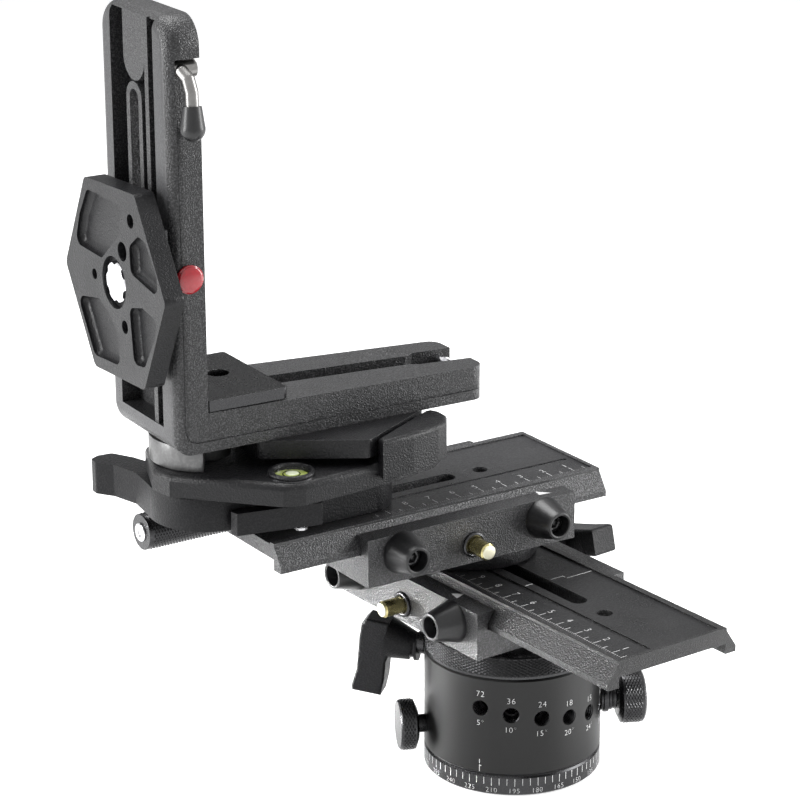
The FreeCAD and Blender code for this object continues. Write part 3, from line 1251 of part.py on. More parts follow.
def strut(name, radius_1, radius_2, start, end):
    """A round bar or a cone between two points."""
    reach = Vector(*[number(b) - number(a) for a, b in zip(start, end)])
    bar = doc.addObject("Part::Cone", name) if radius_1 is not radius_2 else doc.addObject("Part::Cylinder", name)
    if radius_1 is radius_2:
        set_size(bar, "Radius", radius_1)
    else:
        set_size(bar, "Radius1", radius_1)
        set_size(bar, "Radius2", radius_2)
    bar.Height = reach.Length
    return put(bar, start[0], start[1], start[2], Rotation(Vector(0, 0, 1), reach))


def make_rod_lever(frame):
    """Bright bent rod that swings out of the post's side notch, with its soft tip."""
    post_back = -post_front + post_depth
    seat = frame.beyond(post_back, -arm_near, notch_bottom, frame.angle)
    head = (-4.5, 3.6, 21.6)
    path = [(rod_radius + gap - notch_length, 3.6, 21.6), (-6.2, 0.6, 21.5), (-5.4, -2.2, 19.5), (-5.0, -3.6, 15.4), (-5.1, -4.1, 10.8)]
    tip = (-5.6, -5.1, 3.6)
    rod_end = tuple(b + (c - b) * 0.6 for b, c in zip(path[-1], tip))
    bars = []
    for index, (start, end) in enumerate(zip(path, path[1:] + [rod_end])):
        bars.append(strut("rod_bar_%d" % index, rod_radius, rod_radius, start, end))
        bars.append(ball("rod_bend_%d" % index, rod_radius, start))
    rod_piece = join("rod_whole", rod("rod_barrel", rod_barrel_radius, notch_length - gap * 2,
                                      (-notch_length + gap, head[1], head[2]), "X"), *bars)
    node("rod_lever", rod_piece, seat)
    sleeve = cut("rod_sleeve",
                 join("rod_sleeve_outside", strut("rod_sleeve_cone", tip_neck, tip_radius, path[-1], tip),
                      ball("rod_sleeve_end", tip_radius * 0.995, tip)),
                 strut("rod_sleeve_bore", rod_radius, rod_radius, path[-1], rod_end),
                 strut("rod_sleeve_mouth", rod_radius, rod_radius, path[-2], path[-1]),
                 ball("rod_sleeve_bend", rod_radius, path[-1]))
    node("rod_tip", sleeve, seat)


def main():
    make_base()
    make_spindle()
    make_housing()
    make_disc()
    make_pan_lock()
    make_drag_knob()
    make_plunger()
    lower = Frame(0, 0, lower_top, -90)
    upper = Frame(0, upper_shift, upper_top, upper_yaw)
    make_slide("lower", lower_plate_front, lower, stud_radius, stud_rise)
    make_slide("upper", upper_plate_front, upper, stage_screw_radius, stud_rise)
    make_cross_joint(lower, upper)
    clamp = upper.beyond(-clamp_place, 0, 0, upper_yaw)
    make_clamp(clamp)
    bracket = clamp.beyond(0, 0, clamp_base_height + clamp_thick + seat_height + foot_thick, bracket_yaw)
    make_foot(bracket)
    make_bracket(bracket)
    make_camera_plate(bracket)
    make_rod_lever(bracket)

main()
doc.recompute()
faulty = [thing.Name for thing in doc.Objects if "Invalid" in thing.State or "Error" in thing.State]
if faulty:
    raise ValueError("objects failed to compute: " + ", ".join(faulty))
os.makedirs("parts", exist_ok=True)
for name, piece in nodes.items():
    shape = piece.Shape
    if shape.isNull() or not shape.isValid():
        raise ValueError(name + " has no valid shape")
    shape.exportStep("parts/%s.step" % name)
    print("%-20s %d solids, %.1f mm3" % (name, len(shape.Solids), shape.Volume))
print(len(nodes), "nodes")
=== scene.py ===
# %% [markdown]
# # A panoramic tripod head
# The head is a stack of machined and cast metal parts: a turning drum, two
# crossed slides with printed scales, a clamp and a tall L-shaped bracket.
# Its main solids come ready made from the CAD model, in metres and in place.
# This lesson adds what CAD leaves out: finishes, knurls, threads and numbers.

# %% Load the frame
import json
import math

import bmesh
import bpy
import numpy as np
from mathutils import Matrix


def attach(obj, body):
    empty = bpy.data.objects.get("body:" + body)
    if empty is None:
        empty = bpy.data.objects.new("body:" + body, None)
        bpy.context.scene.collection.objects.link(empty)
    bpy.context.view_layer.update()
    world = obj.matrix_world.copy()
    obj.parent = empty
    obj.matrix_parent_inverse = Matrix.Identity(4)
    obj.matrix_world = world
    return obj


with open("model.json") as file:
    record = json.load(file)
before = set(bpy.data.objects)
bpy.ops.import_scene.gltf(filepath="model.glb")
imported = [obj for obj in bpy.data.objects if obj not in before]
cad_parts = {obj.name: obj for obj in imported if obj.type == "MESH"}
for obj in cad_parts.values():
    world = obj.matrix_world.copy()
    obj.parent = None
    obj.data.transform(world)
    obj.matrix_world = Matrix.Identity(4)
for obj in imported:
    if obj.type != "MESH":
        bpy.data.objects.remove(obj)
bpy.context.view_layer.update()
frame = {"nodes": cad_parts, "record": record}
scene = bpy.context.scene
MM = 0.001

# %% [markdown]
# ## Places on the head
# Every group of parts has a place and a turn about the vertical axis. A small
# class keeps both, so that a detail can be written in the plain millimetres
# of its own part and then be carried to the world in one step.


# %% Local places
class Place:
    """A point in millimetres and a turn about Z in degrees. A local point p
    goes to the world as: turn(p) + point."""

    def __init__(self, point, degrees):
        self.point = np.array(point, float)
        angle = math.radians(degrees)
        cosine, sine = math.cos(angle), math.sin(angle)
        self.turn = np.array([[cosine, -sine, 0], [sine, cosine, 0], [0, 0, 1]])

    def world(self, points):
        """Local millimetres to world metres, for an array of points."""
        return (np.asarray(points, float) @ self.turn.T + self.point) * MM

    def beyond(self, shift, degrees):
        """Another place, given by its point in this one and its own turn."""
        return Place(self.turn @ np.array(shift, float) + self.point, degrees)


LOWER_LEVEL = 75.6        # height of the lower plate's rims
UPPER_LEVEL = 105.7       # height of the upper plate's rims
UPPER_OFFSET = 25.3       # how far the lower slide is pushed out
UPPER_TURN = -2.82
CLAMP_OFFSET = -86.8      # the clamp's axis, along the upper plate
BRACKET_RISE = 34.1       # from the upper plate's rims to the bracket's foot
BRACKET_TURN = -5
POST_FRONT = -41.5        # the post's milled front, from the clamp's axis

UP = (0, 0, 1)
ORIGIN = (0, 0, 0)
BASE = Place(ORIGIN, 0)
LOWER = Place((0, 0, LOWER_LEVEL), -90)
UPPER = Place((0, UPPER_OFFSET, UPPER_LEVEL), UPPER_TURN)
CLAMP = UPPER.beyond((CLAMP_OFFSET, 0, 0), UPPER_TURN)
BRACKET = CLAMP.beyond((0, 0, BRACKET_RISE), BRACKET_TURN)
STAGES = {"lower": LOWER, "upper": UPPER}
print("clamp axis at", (CLAMP.point * MM).round(4))

# %% [markdown]
# ## The camera
# The camera stands in front of the head, a little above it, and looks at it
# from the side of the bracket. Its lens is long, so upright edges stay nearly
# parallel. The turn is built from three angles: heading, tilt and roll.

# %% The camera
HEADING, TILT, ROLL = map(math.radians, (35.9377, 18.5958, -0.18868))
CAMERA_PLACE = (-0.61032, -0.77223, 0.47036)
FOCAL_PIXELS, FRAME_PIXELS, SENSOR = 2922.99, 800, 36

forward = np.array([math.sin(HEADING) * math.cos(TILT),
                    math.cos(HEADING) * math.cos(TILT), -math.sin(TILT)])
level_right = np.array([math.cos(HEADING), -math.sin(HEADING), 0])
level_up = np.cross(level_right, forward)
right = level_right * math.cos(ROLL) + level_up * math.sin(ROLL)
up = level_up * math.cos(ROLL) - level_right * math.sin(ROLL)


def standing(thing, columns, place):
    """Places an object: the columns of its turn are its own X, Y and Z axes."""
    matrix = np.eye(4)
    matrix[:3, :3] = np.column_stack(columns)
    matrix[:3, 3] = place
    thing.matrix_world = matrix.T.tolist()
    scene.collection.objects.link(thing)


camera_data = bpy.data.cameras.new("camera")
camera_data.sensor_width = SENSOR
camera_data.lens = FOCAL_PIXELS / FRAME_PIXELS * SENSOR
camera = bpy.data.objects.new("camera", camera_data)
standing(camera, (right, up, -forward), CAMERA_PLACE)
scene.camera = camera
print("lens", round(camera_data.lens, 1), "mm")

# %% [markdown]
# ## Shader helpers
# Materials, the world and node groups are all trees of nodes. Three short
# helpers empty a tree, join two sockets, and add a math node whose inputs may
# be sockets or plain numbers.


# %% Shader helpers
def nodes_of(owner):
    """An emptied node tree of a material or a world."""
    owner.use_nodes = True
    owner.node_tree.nodes.clear()
    return owner.node_tree


def link(tree, source, target):
    """One wire between two sockets."""
    tree.links.new(source, target)


def math_node(tree, operation, first, second=None, clamp=False):
    """A math node whose inputs are sockets or plain numbers."""
    made = tree.nodes.new("ShaderNodeMath")
    made.operation = operation
    made.use_clamp = clamp
    for index, value in enumerate((first, second)):
        if value is None:
            continue
        if isinstance(value, (int, float)):
            made.inputs[index].default_value = value
        else:
            link(tree, value, made.inputs[index])
    return made.outputs[0]


def seen_directly(tree):
    """One where a camera, mirror or glass ray looks, zero where light is
    gathered: the largest of the three kinds of ray."""
    rays = tree.nodes.new("ShaderNodeLightPath")
    largest = math_node(tree, "MAXIMUM", rays.outputs["Is Camera Ray"], rays.outputs["Is Glossy Ray"])
    return math_node(tree, "MAXIMUM", largest, rays.outputs["Is Transmission Ray"])


print("helpers: nodes_of, link, math_node, seen_directly")

# %% [markdown]
# ## The room
# The world is white where the camera or a mirror looks at it, and dimmer as a
# light. The render then has a white ground and bright metal, while the large
# panels of the next step still shape the dark parts.

# %% The room
WHITE_ROOM = (1, 1, 1, 1)
ROOM_LIGHT, ROOM_STRENGTH = (0.86, 0.88, 0.9, 1), 0.3

world = bpy.data.worlds.new("studio")
scene.world = world
tree = nodes_of(world)
room = tree.nodes.new("ShaderNodeBackground")
room.inputs["Color"].default_value = ROOM_LIGHT
room.inputs["Strength"].default_value = ROOM_STRENGTH
backdrop = tree.nodes.new("ShaderNodeBackground")
backdrop.inputs["Color"].default_value = WHITE_ROOM
choice = tree.nodes.new("ShaderNodeMixShader")
output = tree.nodes.new("ShaderNodeOutputWorld")
link(tree, seen_directly(tree), choice.inputs[0])
link(tree, room.outputs[0], choice.inputs[1])
link(tree, backdrop.outputs[0], choice.inputs[2])
link(tree, choice.outputs[0], output.inputs[0])
scene.view_settings.view_transform = "Standard"
print("room light", ROOM_STRENGTH)

# %% [markdown]
# ## Soft panels
# Black metal shows little colour of its own and is drawn by what it reflects.
# Large, soft panels give it broad sheens: one on each side and one above. Two
# small low ones, with narrow beams, put a sheen on both sides of the drum.


# %% Soft panels
def panel(name, place, aim, size, power, beam=180):
    """A soft rectangular lamp at place, facing aim, whose light fans out over
    the degrees of its beam."""
    data = bpy.data.lights.new(name, "AREA")
    data.shape = "RECTANGLE"
    data.size, data.size_y = size
    data.energy = power
    data.spread = math.radians(beam)
    lamp = bpy.data.objects.new(name, data)
    lamp.visible_camera = False
    back = np.array(place, float) - np.array(aim, float)
    back /= np.linalg.norm(back)
    side = np.cross(UP, back)
    side /= np.linalg.norm(side)
    standing(lamp, (side, np.cross(back, side), back), place)


MIDDLE = (-0.03, 0.0, 0.14)
DRUM_MIDDLE = (0, 0, 0.02)
panel("left_panel", (-1.1, 0.5, 0.45), MIDDLE, (0.35, 0.9), 14)
panel("right_panel", (0.85, -0.5, 0.45), MIDDLE, (0.35, 0.8), 12)
panel("low_left_panel", (-0.38, 0.38, 0.03), DRUM_MIDDLE, (0.16, 0.06), 0.18, 20)
panel("low_right_panel", (0.33, -0.41, 0.03), DRUM_MIDDLE, (0.1, 0.06), 0.03, 20)
panel("top_panel", (-0.05, 0.35, 1.2), MIDDLE, (0.8, 0.6), 14)

# %% [markdown]
# ## Floor and flag
# The floor is pale paper, a flat sheet that keeps the head's shadow; the same
# choice of rays makes it bright to the camera and in mirrors. Level black
# faces, seen at a low angle, would mirror the white room and turn grey. So a
# studio hangs a dark board, called a flag, where their reflections end. It
# throws no shadow and the camera doesn't see it.


# %% Floor and flag
def sheet_of(name, corners, material):
    """A flat four-cornered sheet that isn't part of the object."""
    mesh = bpy.data.meshes.new(name)
    mesh.from_pydata(corners, [], [(0, 1, 2, 3)])
    mesh.materials.append(material)
    thing = bpy.data.objects.new(name, mesh)
    scene.collection.objects.link(thing)
    return thing


VELVET_GREY = (0.2, 0.2, 0.2, 1)
PAPER_GREY, PAPER_GLOW = (0.82, 0.82, 0.82, 1), 0.62
FLAG_LEFT, FLAG_RIGHT, FLAG_FOOT, FLAG_TOP = (0.1, 1.5), (1.5, 0.5), 0.2, 1.0
FAR, LOW = 6, -0.0002

velvet = bpy.data.materials.new("velvet")
tree = nodes_of(velvet)
pile = tree.nodes.new("ShaderNodeBsdfDiffuse")
pile.inputs["Color"].default_value = VELVET_GREY
output = tree.nodes.new("ShaderNodeOutputMaterial")
link(tree, pile.outputs[0], output.inputs[0])
flag = sheet_of("flag", [(*FLAG_LEFT, FLAG_FOOT), (*FLAG_RIGHT, FLAG_FOOT),
                         (*FLAG_RIGHT, FLAG_TOP), (*FLAG_LEFT, FLAG_TOP)], velvet)
flag.visible_camera = flag.visible_shadow = False

paper = bpy.data.materials.new("paper")
tree = nodes_of(paper)
matt = tree.nodes.new("ShaderNodeBsdfDiffuse")
matt.inputs["Color"].default_value = PAPER_GREY
glow = tree.nodes.new("ShaderNodeEmission")
glow.inputs["Color"].default_value = WHITE_ROOM
glow.inputs["Strength"].default_value = PAPER_GLOW
lift = tree.nodes.new("ShaderNodeAddShader")
choice = tree.nodes.new("ShaderNodeMixShader")
output = tree.nodes.new("ShaderNodeOutputMaterial")
link(tree, matt.outputs[0], lift.inputs[0])
link(tree, glow.outputs[0], lift.inputs[1])
link(tree, seen_directly(tree), choice.inputs[0])
link(tree, matt.outputs[0], choice.inputs[1])
link(tree, lift.outputs[0], choice.inputs[2])
link(tree, choice.outputs[0], output.inputs[0])
sheet_of("floor", [(-FAR, -FAR, LOW), (FAR, -FAR, LOW), (FAR, FAR, LOW), (-FAR, FAR, LOW)], paper)
print("stage: floor and flag")

# %% [markdown]
# ## Shared effects
# Cast parts wear a coarse powder coat: small soft grains that catch the light
# one by one. Moulded and machined parts have finer, fainter grain. One node
# group makes both, with the grain's size and strength as its inputs. It puts
# out a roughness, a colour and a normal, which feed the shader.

# %% The grain group
COLOR, FLOAT, VECTOR = "NodeSocketColor", "NodeSocketFloat", "NodeSocketVector"
SKIN_SOCKETS = (("Color", "Base Color"), ("Roughness", "Roughness"), ("Normal", "Normal"))
SHEEN_SCALE = 60                      # the broad noise: one swing in about 17 mm
GRAIN_LOW, GRAIN_HIGH = 0.46, 0.66    # the fine noise between them turns bright
BUMP_HEIGHT = 0.0003


def group(name, inputs):
    """A node group with its own named inputs, which puts out a skin: a colour,
    a roughness and a normal."""
    made = bpy.data.node_groups.new(name, "ShaderNodeTree")
    for label, kind, value in inputs:
        made.interface.new_socket(label, in_out="INPUT", socket_type=kind).default_value = value
    for label, kind in (("Color", COLOR), ("Roughness", FLOAT), ("Normal", VECTOR)):
        made.interface.new_socket(label, in_out="OUTPUT", socket_type=kind)
    return made, made.nodes.new("NodeGroupInput"), made.nodes.new("NodeGroupOutput")


grain, entry, leave = group("grain", [
    ("Color", COLOR, (0.03, 0.03, 0.03, 1)), ("Bright", COLOR, (0.2, 0.2, 0.2, 1)),
    ("Scale", FLOAT, 2500.0), ("Speckle", FLOAT, 0.3), ("Depth", FLOAT, 0.3),
    ("Roughness", FLOAT, 0.45), ("Spread", FLOAT, 0.2)])
spot = grain.nodes.new("ShaderNodeTexCoord")
fine = grain.nodes.new("ShaderNodeTexNoise")
fine.inputs["Detail"].default_value = 1
fine.inputs["Roughness"].default_value = 0.62
link(grain, spot.outputs["Object"], fine.inputs["Vector"])
link(grain, entry.outputs["Scale"], fine.inputs["Scale"])
broad = grain.nodes.new("ShaderNodeTexNoise")
broad.inputs["Scale"].default_value = SHEEN_SCALE
broad.inputs["Detail"].default_value = 2
link(grain, spot.outputs["Object"], broad.inputs["Vector"])
print("grain: fine noise for the grains, broad noise for the sheen")

# %% [markdown]
# The tops of the fine noise are the grains: they take the bright colour. The
# sheen drifts with the broad noise, and each grain is a little glossier. The
# same noise is also the height of a bump, 0.3 mm deep at full strength.

# %% Colour, roughness and bump of the grain
peaks = grain.nodes.new("ShaderNodeMapRange")
peaks.inputs["From Min"].default_value = GRAIN_LOW
peaks.inputs["From Max"].default_value = GRAIN_HIGH
link(grain, fine.outputs["Fac"], peaks.inputs["Value"])
mix = grain.nodes.new("ShaderNodeMix")
mix.data_type = "RGBA"
share = math_node(grain, "MULTIPLY", peaks.outputs[0], entry.outputs["Speckle"], True)
link(grain, share, mix.inputs["Factor"])
link(grain, entry.outputs["Color"], mix.inputs["A"])
link(grain, entry.outputs["Bright"], mix.inputs["B"])
link(grain, mix.outputs["Result"], leave.inputs["Color"])


def swing(noise):
    """A noise centred on zero and scaled by the spread."""
    return math_node(grain, "MULTIPLY", math_node(grain, "SUBTRACT", noise, 0.5), entry.outputs["Spread"])


rough = math_node(grain, "ADD", entry.outputs["Roughness"], swing(broad.outputs["Fac"]))
link(grain, math_node(grain, "SUBTRACT", rough, swing(fine.outputs["Fac"]), True), leave.inputs["Roughness"])
bump = grain.nodes.new("ShaderNodeBump")
bump.inputs["Distance"].default_value = BUMP_HEIGHT
link(grain, fine.outputs["Fac"], bump.inputs["Height"])
link(grain, entry.outputs["Depth"], bump.inputs["Strength"])
link(grain, bump.outputs["Normal"], leave.inputs["Normal"])
print("groups:", [made.name for made in bpy.data.node_groups])

# %% [markdown]
# ## Finishes
# A finish is a Principled shader fed by the grain group. What is the same all
# over, such as the metal share or a clear coat, is set on the shader itself;
# what varies over the surface comes from the group.


# %% The finish function
def skinned(name, skin_group, settings, specular, metallic=0.0, coat=0.0):
    """A material whose shader takes its skin from a group with these inputs."""
    made = bpy.data.materials.new(name)
    tree = nodes_of(made)
    shader = tree.nodes.new("ShaderNodeBsdfPrincipled")
    shader.inputs["Metallic"].default_value = metallic
    shader.inputs["Coat Weight"].default_value = coat
    shader.inputs["Coat Roughness"].default_value = 0.08
    shader.inputs["Specular IOR Level"].default_value = specular
    skin = tree.nodes.new("ShaderNodeGroup")
    skin.node_tree = skin_group
    for label, value in settings.items():
        skin.inputs[label].default_value = value
    for label, target in SKIN_SOCKETS:
        link(tree, skin.outputs[label], shader.inputs[target])
    output = tree.nodes.new("ShaderNodeOutputMaterial")
    link(tree, shader.outputs[0], output.inputs[0])
    return made


def finish(name, color, bright, size, speckle, depth, roughness, spread,
           metallic=0.0, coat=0.0, specular=0.5):
    """A material from the grain group. size is the grain's width in metres,
    speckle how much of the bright colour the grains take, depth the strength
    of the bump, and spread how far the roughness swings."""
    settings = {"Color": (*color, 1), "Bright": (*bright, 1), "Scale": 1 / size, "Speckle": speckle,
                "Depth": depth, "Roughness": roughness, "Spread": spread}
    return skinned(name, grain, settings, specular, metallic, coat)


print("finish takes a colour, a bright colour and the grain's five numbers")

# %% [markdown]
# The castings and mouldings are all black, but they differ in grain and
# gloss: a powder coat sparkles, the clamp's coat is smoother, the hexagonal
# plate and the levers are matt, and rubber is nearly even.

# %% Black coats and mouldings
POWDER = finish("powder_coat", (0.016, 0.016, 0.017), (0.11, 0.11, 0.113), size=0.00055, speckle=0.6,
                depth=1.0, roughness=0.36, spread=0.3)
SMOOTH_COAT = finish("smooth_black_coat", (0.006, 0.006, 0.007), (0.02, 0.02, 0.021), size=0.0006,
                     speckle=0.5, depth=0.9, roughness=0.34, spread=0.25, specular=0.3)
HEXAGON = finish("matt_moulding", (0.006, 0.006, 0.007), (0.022, 0.022, 0.024), size=0.0006, speckle=0.5,
                 depth=0.6, roughness=0.36, spread=0.2, specular=0.3)
HOUSING = finish("smooth_housing", (0.002, 0.002, 0.002), (0.004, 0.004, 0.004), size=0.0006, speckle=0.3,
                 depth=0.05, roughness=0.38, spread=0.06, specular=0.36)
MOULDED = finish("moulded_black", (0.004, 0.004, 0.005), (0.018, 0.018, 0.019), size=0.0006, speckle=0.5,
                 depth=0.8, roughness=0.44, spread=0.2, specular=0.22)
SOFT = finish("soft_rubber", (0.01, 0.01, 0.011), (0.02, 0.02, 0.02), size=0.0007, speckle=0.3,
              depth=0.12, roughness=0.36, spread=0.12)
# painted highlight: a light grey for the rounded edge strips of the plates, bracket, stop plate and
# carriages, in place of the light they catch
EDGE_HIGHLIGHT = finish("painted_edge_highlight", (0.2, 0.2, 0.205), (0.3, 0.3, 0.305), size=0.0006, speckle=0.5,
              depth=0.4, roughness=0.3, spread=0.2, metallic=0.4, specular=0.6)
DARK_EDGE = finish("soft_black_edges", (0.015, 0.015, 0.016), (0.04, 0.04, 0.041), size=0.0006, speckle=0.5,
                   depth=0.5, roughness=0.32, spread=0.2)
print("black finishes: 8")

# %% [markdown]
# Metals take their colour from their reflections, so their metal share is
# near one and their base colour is the tint of the mirror.

# %% Metals
SATIN = finish("black_anodised", (0.05, 0.05, 0.052), (0.07, 0.07, 0.07), size=0.0006, speckle=0.3,
               depth=0.06, roughness=0.27, spread=0.1, metallic=0.9)
KNURL = finish("knurled_metal", (0.022, 0.022, 0.023), (0.04, 0.04, 0.04), size=0.0005, speckle=0.4,
               depth=0.1, roughness=0.3, spread=0.15, metallic=0.9)
STEEL = finish("turned_steel", (0.5, 0.5, 0.51), (0.6, 0.6, 0.61), size=0.0005, speckle=0.5,
               depth=0.05, roughness=0.25, spread=0.15, metallic=1.0)
CHROME = finish("chrome", (0.78, 0.78, 0.8), (0.84, 0.84, 0.85), size=0.002, speckle=0.3,
                depth=0.02, roughness=0.1, spread=0.05, metallic=1.0)
POLISHED = finish("brushed_rod", (0.22, 0.215, 0.21), (0.3, 0.3, 0.29), size=0.001, speckle=0.3,
                  depth=0.02, roughness=0.32, spread=0.1, metallic=1.0)
BRASS = finish("satin_brass", (0.5, 0.44, 0.2), (0.66, 0.6, 0.36), size=0.0008, speckle=0.4,
               depth=0.08, roughness=0.22, spread=0.2, metallic=1.0)
# painted highlight: the buttons' domed ends take a much paler brass than their sides, in place of the bright
# reflection on them
LIT_BRASS_END = finish("brass_end_painted_highlight", (0.82, 0.79, 0.6), (0.9, 0.88, 0.74), size=0.0009, speckle=0.4,
                   depth=0.05, roughness=0.42, spread=0.1, metallic=0.7)
ALLOY = finish("bare_alloy", (0.13, 0.13, 0.13), (0.2, 0.2, 0.2), size=0.0012, speckle=0.4,
               depth=0.1, roughness=0.36, spread=0.15, metallic=0.6)
print("metals: 8")

# %% [markdown]
# A few small things have a colour of their own: the white print, the red cap
# with its lacquer, and the liquid and the air bubble of the level.

# %% Small coloured things
WHITE = finish("white_print", (0.75, 0.75, 0.75), (0.9, 0.9, 0.9), size=0.0005, speckle=0.4,
               depth=0.1, roughness=0.6, spread=0.1)
RED = finish("red_cap", (0.42, 0.002, 0.012), (0.5, 0.01, 0.02), size=0.002, speckle=0.3,
             depth=0.02, roughness=0.2, spread=0.08, coat=0.6)
AIR = finish("air_bubble", (0.8, 0.86, 0.6), (0.9, 0.95, 0.8), size=0.003, speckle=0.3,
             depth=0.02, roughness=0.1, spread=0.05, coat=0.6)
VIAL = finish("vial_liquid", (0.5, 0.6, 0.14), (0.7, 0.78, 0.35), size=0.004, speckle=0.4,
              depth=0.02, roughness=0.15, spread=0.1, coat=0.8)
print("coloured finishes: 4")

# %% [markdown]
# Each part of the CAD model names a material slot, such as painted or steel.
# A slot's finish suits most of its parts. A few parts get their own.

# %% Finishes on the parts
BY_SLOT = {"painted": POWDER, "anodised": SATIN, "steel": STEEL, "chrome": CHROME, "brass": BRASS,
           "plastic": MOULDED, "red_plastic": RED, "rubber": SOFT, "bare_alloy": ALLOY, "vial": VIAL}
BY_NODE = {"rod_lever": POLISHED, "pan_lock_stud": SATIN, "adapter_body": SMOOTH_COAT, "clamp_lever": MOULDED,
           "adapter_base": MOULDED, "camera_plate": HEXAGON, "housing": HOUSING, "foot_plate": SMOOTH_COAT,
           "upper_riser": SMOOTH_COAT}
for part in frame["record"]["subparts"]:
    surface = frame["nodes"][part["node"]].data.materials
    surface.clear()
    surface.append(BY_NODE.get(part["node"], BY_SLOT[part["material_slot"]]))

# %% [markdown]
# ## Machined faces
# The plates and the bracket are cast, coated all over, and then milled where
# something slides on them. One group tells the milled faces from the rest. It
# takes the distance of a point along a direction: the dot product of the
# point and the direction. A milled face is where that distance is within a
# quarter of a millimetre of a given level. No painting or masks are needed.

# %% The machined face group
FACE_REACH = 0.00025
milled, entry, leave = group("milled_faces", [
    ("Direction", VECTOR, UP), ("Level", FLOAT, 0.0749),
    ("Face", COLOR, (0.03, 0.03, 0.032, 1)), ("Face bright", COLOR, (0.07, 0.07, 0.072, 1)),
    ("Coat", COLOR, (0.02, 0.02, 0.022, 1)), ("Coat bright", COLOR, (0.25, 0.25, 0.26, 1))])
spot = milled.nodes.new("ShaderNodeTexCoord")
along = milled.nodes.new("ShaderNodeVectorMath")
along.operation = "DOT_PRODUCT"
link(milled, spot.outputs["Object"], along.inputs[0])
link(milled, entry.outputs["Direction"], along.inputs[1])
apart = math_node(milled, "SUBTRACT", along.outputs["Value"], entry.outputs["Level"])
on_face = math_node(milled, "LESS_THAN", math_node(milled, "ABSOLUTE", apart), FACE_REACH)


def inner_skin(color, bright, scale, speckle, depth):
    """A grain group inside the face group, with colours from its inputs."""
    skin = milled.nodes.new("ShaderNodeGroup")
    skin.node_tree = grain
    link(milled, entry.outputs[color], skin.inputs["Color"])
    link(milled, entry.outputs[bright], skin.inputs["Bright"])
    for label, value in (("Scale", scale), ("Speckle", speckle), ("Depth", depth), ("Roughness", 0.34),
                         ("Spread", 0.25)):
        skin.inputs[label].default_value = value
    return skin


coat_skin = inner_skin("Coat", "Coat bright", 1800, 0.6, 1.0)
face_skin = inner_skin("Face", "Face bright", 1500, 0.5, 0.3)
for label, kind, first in (("Color", "RGBA", 6), ("Roughness", "FLOAT", 2), ("Normal", "VECTOR", 4)):
    blend = milled.nodes.new("ShaderNodeMix")
    blend.data_type = kind
    link(milled, on_face, blend.inputs[0])
    link(milled, coat_skin.outputs[label], blend.inputs[first])
    link(milled, face_skin.outputs[label], blend.inputs[first + 1])
    result = [socket for socket in blend.outputs if socket.enabled][0]
    link(milled, result, leave.inputs[label])
print("the face group mixes two skins")

# %% [markdown]
# Both plates are milled on their tray floors, and the bracket on its front.
# The bracket stands at an angle, so its direction comes from its place.


# %% Castings with milled faces
def milled_finish(name, direction, level, face, coat):
    """A coated casting whose faces at one level along a direction are milled."""
    settings = {"Direction": direction, "Level": level,
                "Face": (face, face, face * 1.04, 1), "Face bright": (face * 2.2, face * 2.2, face * 2.3, 1),
                "Coat": (coat, coat, coat * 1.05, 1), "Coat bright": (coat * 7, coat * 7, coat * 7.2, 1)}
    return skinned(name, milled, settings, specular=0.4)


across = BRACKET.turn[:, 0]
post_face = float(BRACKET.world([(POST_FRONT, 0, 0)])[0] @ across)
LOWER_FLOOR, UPPER_FLOOR = 0.0749, 0.105
# painted shade: the lower plate takes darker face and coat colours than the upper plate, which wears the same
# coat
for name, direction, level, face, coat in (
        ("lower_plate", UP, LOWER_FLOOR, 0.018, 0.006), ("upper_plate", UP, UPPER_FLOOR, 0.032, 0.024),
        ("l_bracket", tuple(across), post_face, 0.05, 0.017)):
    surface = frame["nodes"][name].data.materials
    surface.clear()
    surface.append(milled_finish(name + "_coats", direction, level, face, coat))
print("castings with milled faces: 3")

# %% [markdown]
# ## Soft edges
# Cast and machined parts have edges rounded by a few tenths of a millimetre,
# and those edges catch the light. The CAD meshes are loose triangles, so a
# Weld modifier first joins them, and a Bevel modifier then rounds every edge
# that is sharper than an angle. The rounded strip of the wider edges takes a
# second material. On the plates, the bracket, the stop plate and the carriages
# it is lighter, a painted highlight for the light those edges catch.

# %% Edges of the CAD parts
SOFT_EDGES = {
    1.1: ["pan_lock_lever", "lower_lock_lever", "upper_lock_lever", "safety_tab"],
    0.8: ["adapter_body", "clamp_lever", "camera_plate"],
    0.5: ["l_bracket", "stop_plate", "foot_plate", "adapter_base", "clamp_cam"],
    0.4: ["lower_plate", "upper_plate", "lower_carriage", "upper_carriage", "lower_worm_block",
          "upper_worm_block", "plate_carrier", "lower_cone_caps", "upper_cone_caps"],
    0.2: ["drag_knob", "plunger_knob", "plunger_collar", "lower_worm_knob", "upper_worm_knob",
          "upper_riser", "level_cup", "camera_screw"],
}
# painted highlight: on these parts the rounded edge strip takes the light grey edge material
HIGHLIGHT_PAINTED_EDGES = {"l_bracket", "stop_plate", "lower_plate", "upper_plate", "lower_carriage", "upper_carriage"}
PAINTED_WIDTH = 0.4       # from this width on, the strip takes its own material
ROUND_WIDTH = 0.7         # above this width, the strip has three segments
WELD_REACH = 0.00001
SHARP = math.radians(33)
for width, names in SOFT_EDGES.items():
    for name in names:
        node = frame["nodes"][name]
        weld = node.modifiers.new("weld", "WELD")
        weld.merge_threshold = WELD_REACH
        edge = node.modifiers.new("edges", "BEVEL")
        edge.width = width * MM
        edge.segments = 3 if width > ROUND_WIDTH else 2
        edge.limit_method = "ANGLE"
        edge.angle_limit = SHARP
        if width >= PAINTED_WIDTH:
            node.data.materials.append(EDGE_HIGHLIGHT if name in HIGHLIGHT_PAINTED_EDGES else DARK_EDGE)
            edge.material = 1
print("softened:", sum(len(names) for names in SOFT_EDGES.values()))

# %% [markdown]
# ## Surfaces on a grid
# Every new piece is a surface of two numbers: one runs along it, the other
# round it. numpy works out all points at once as an array of rows and
# columns, and a face joins each four neighbours.


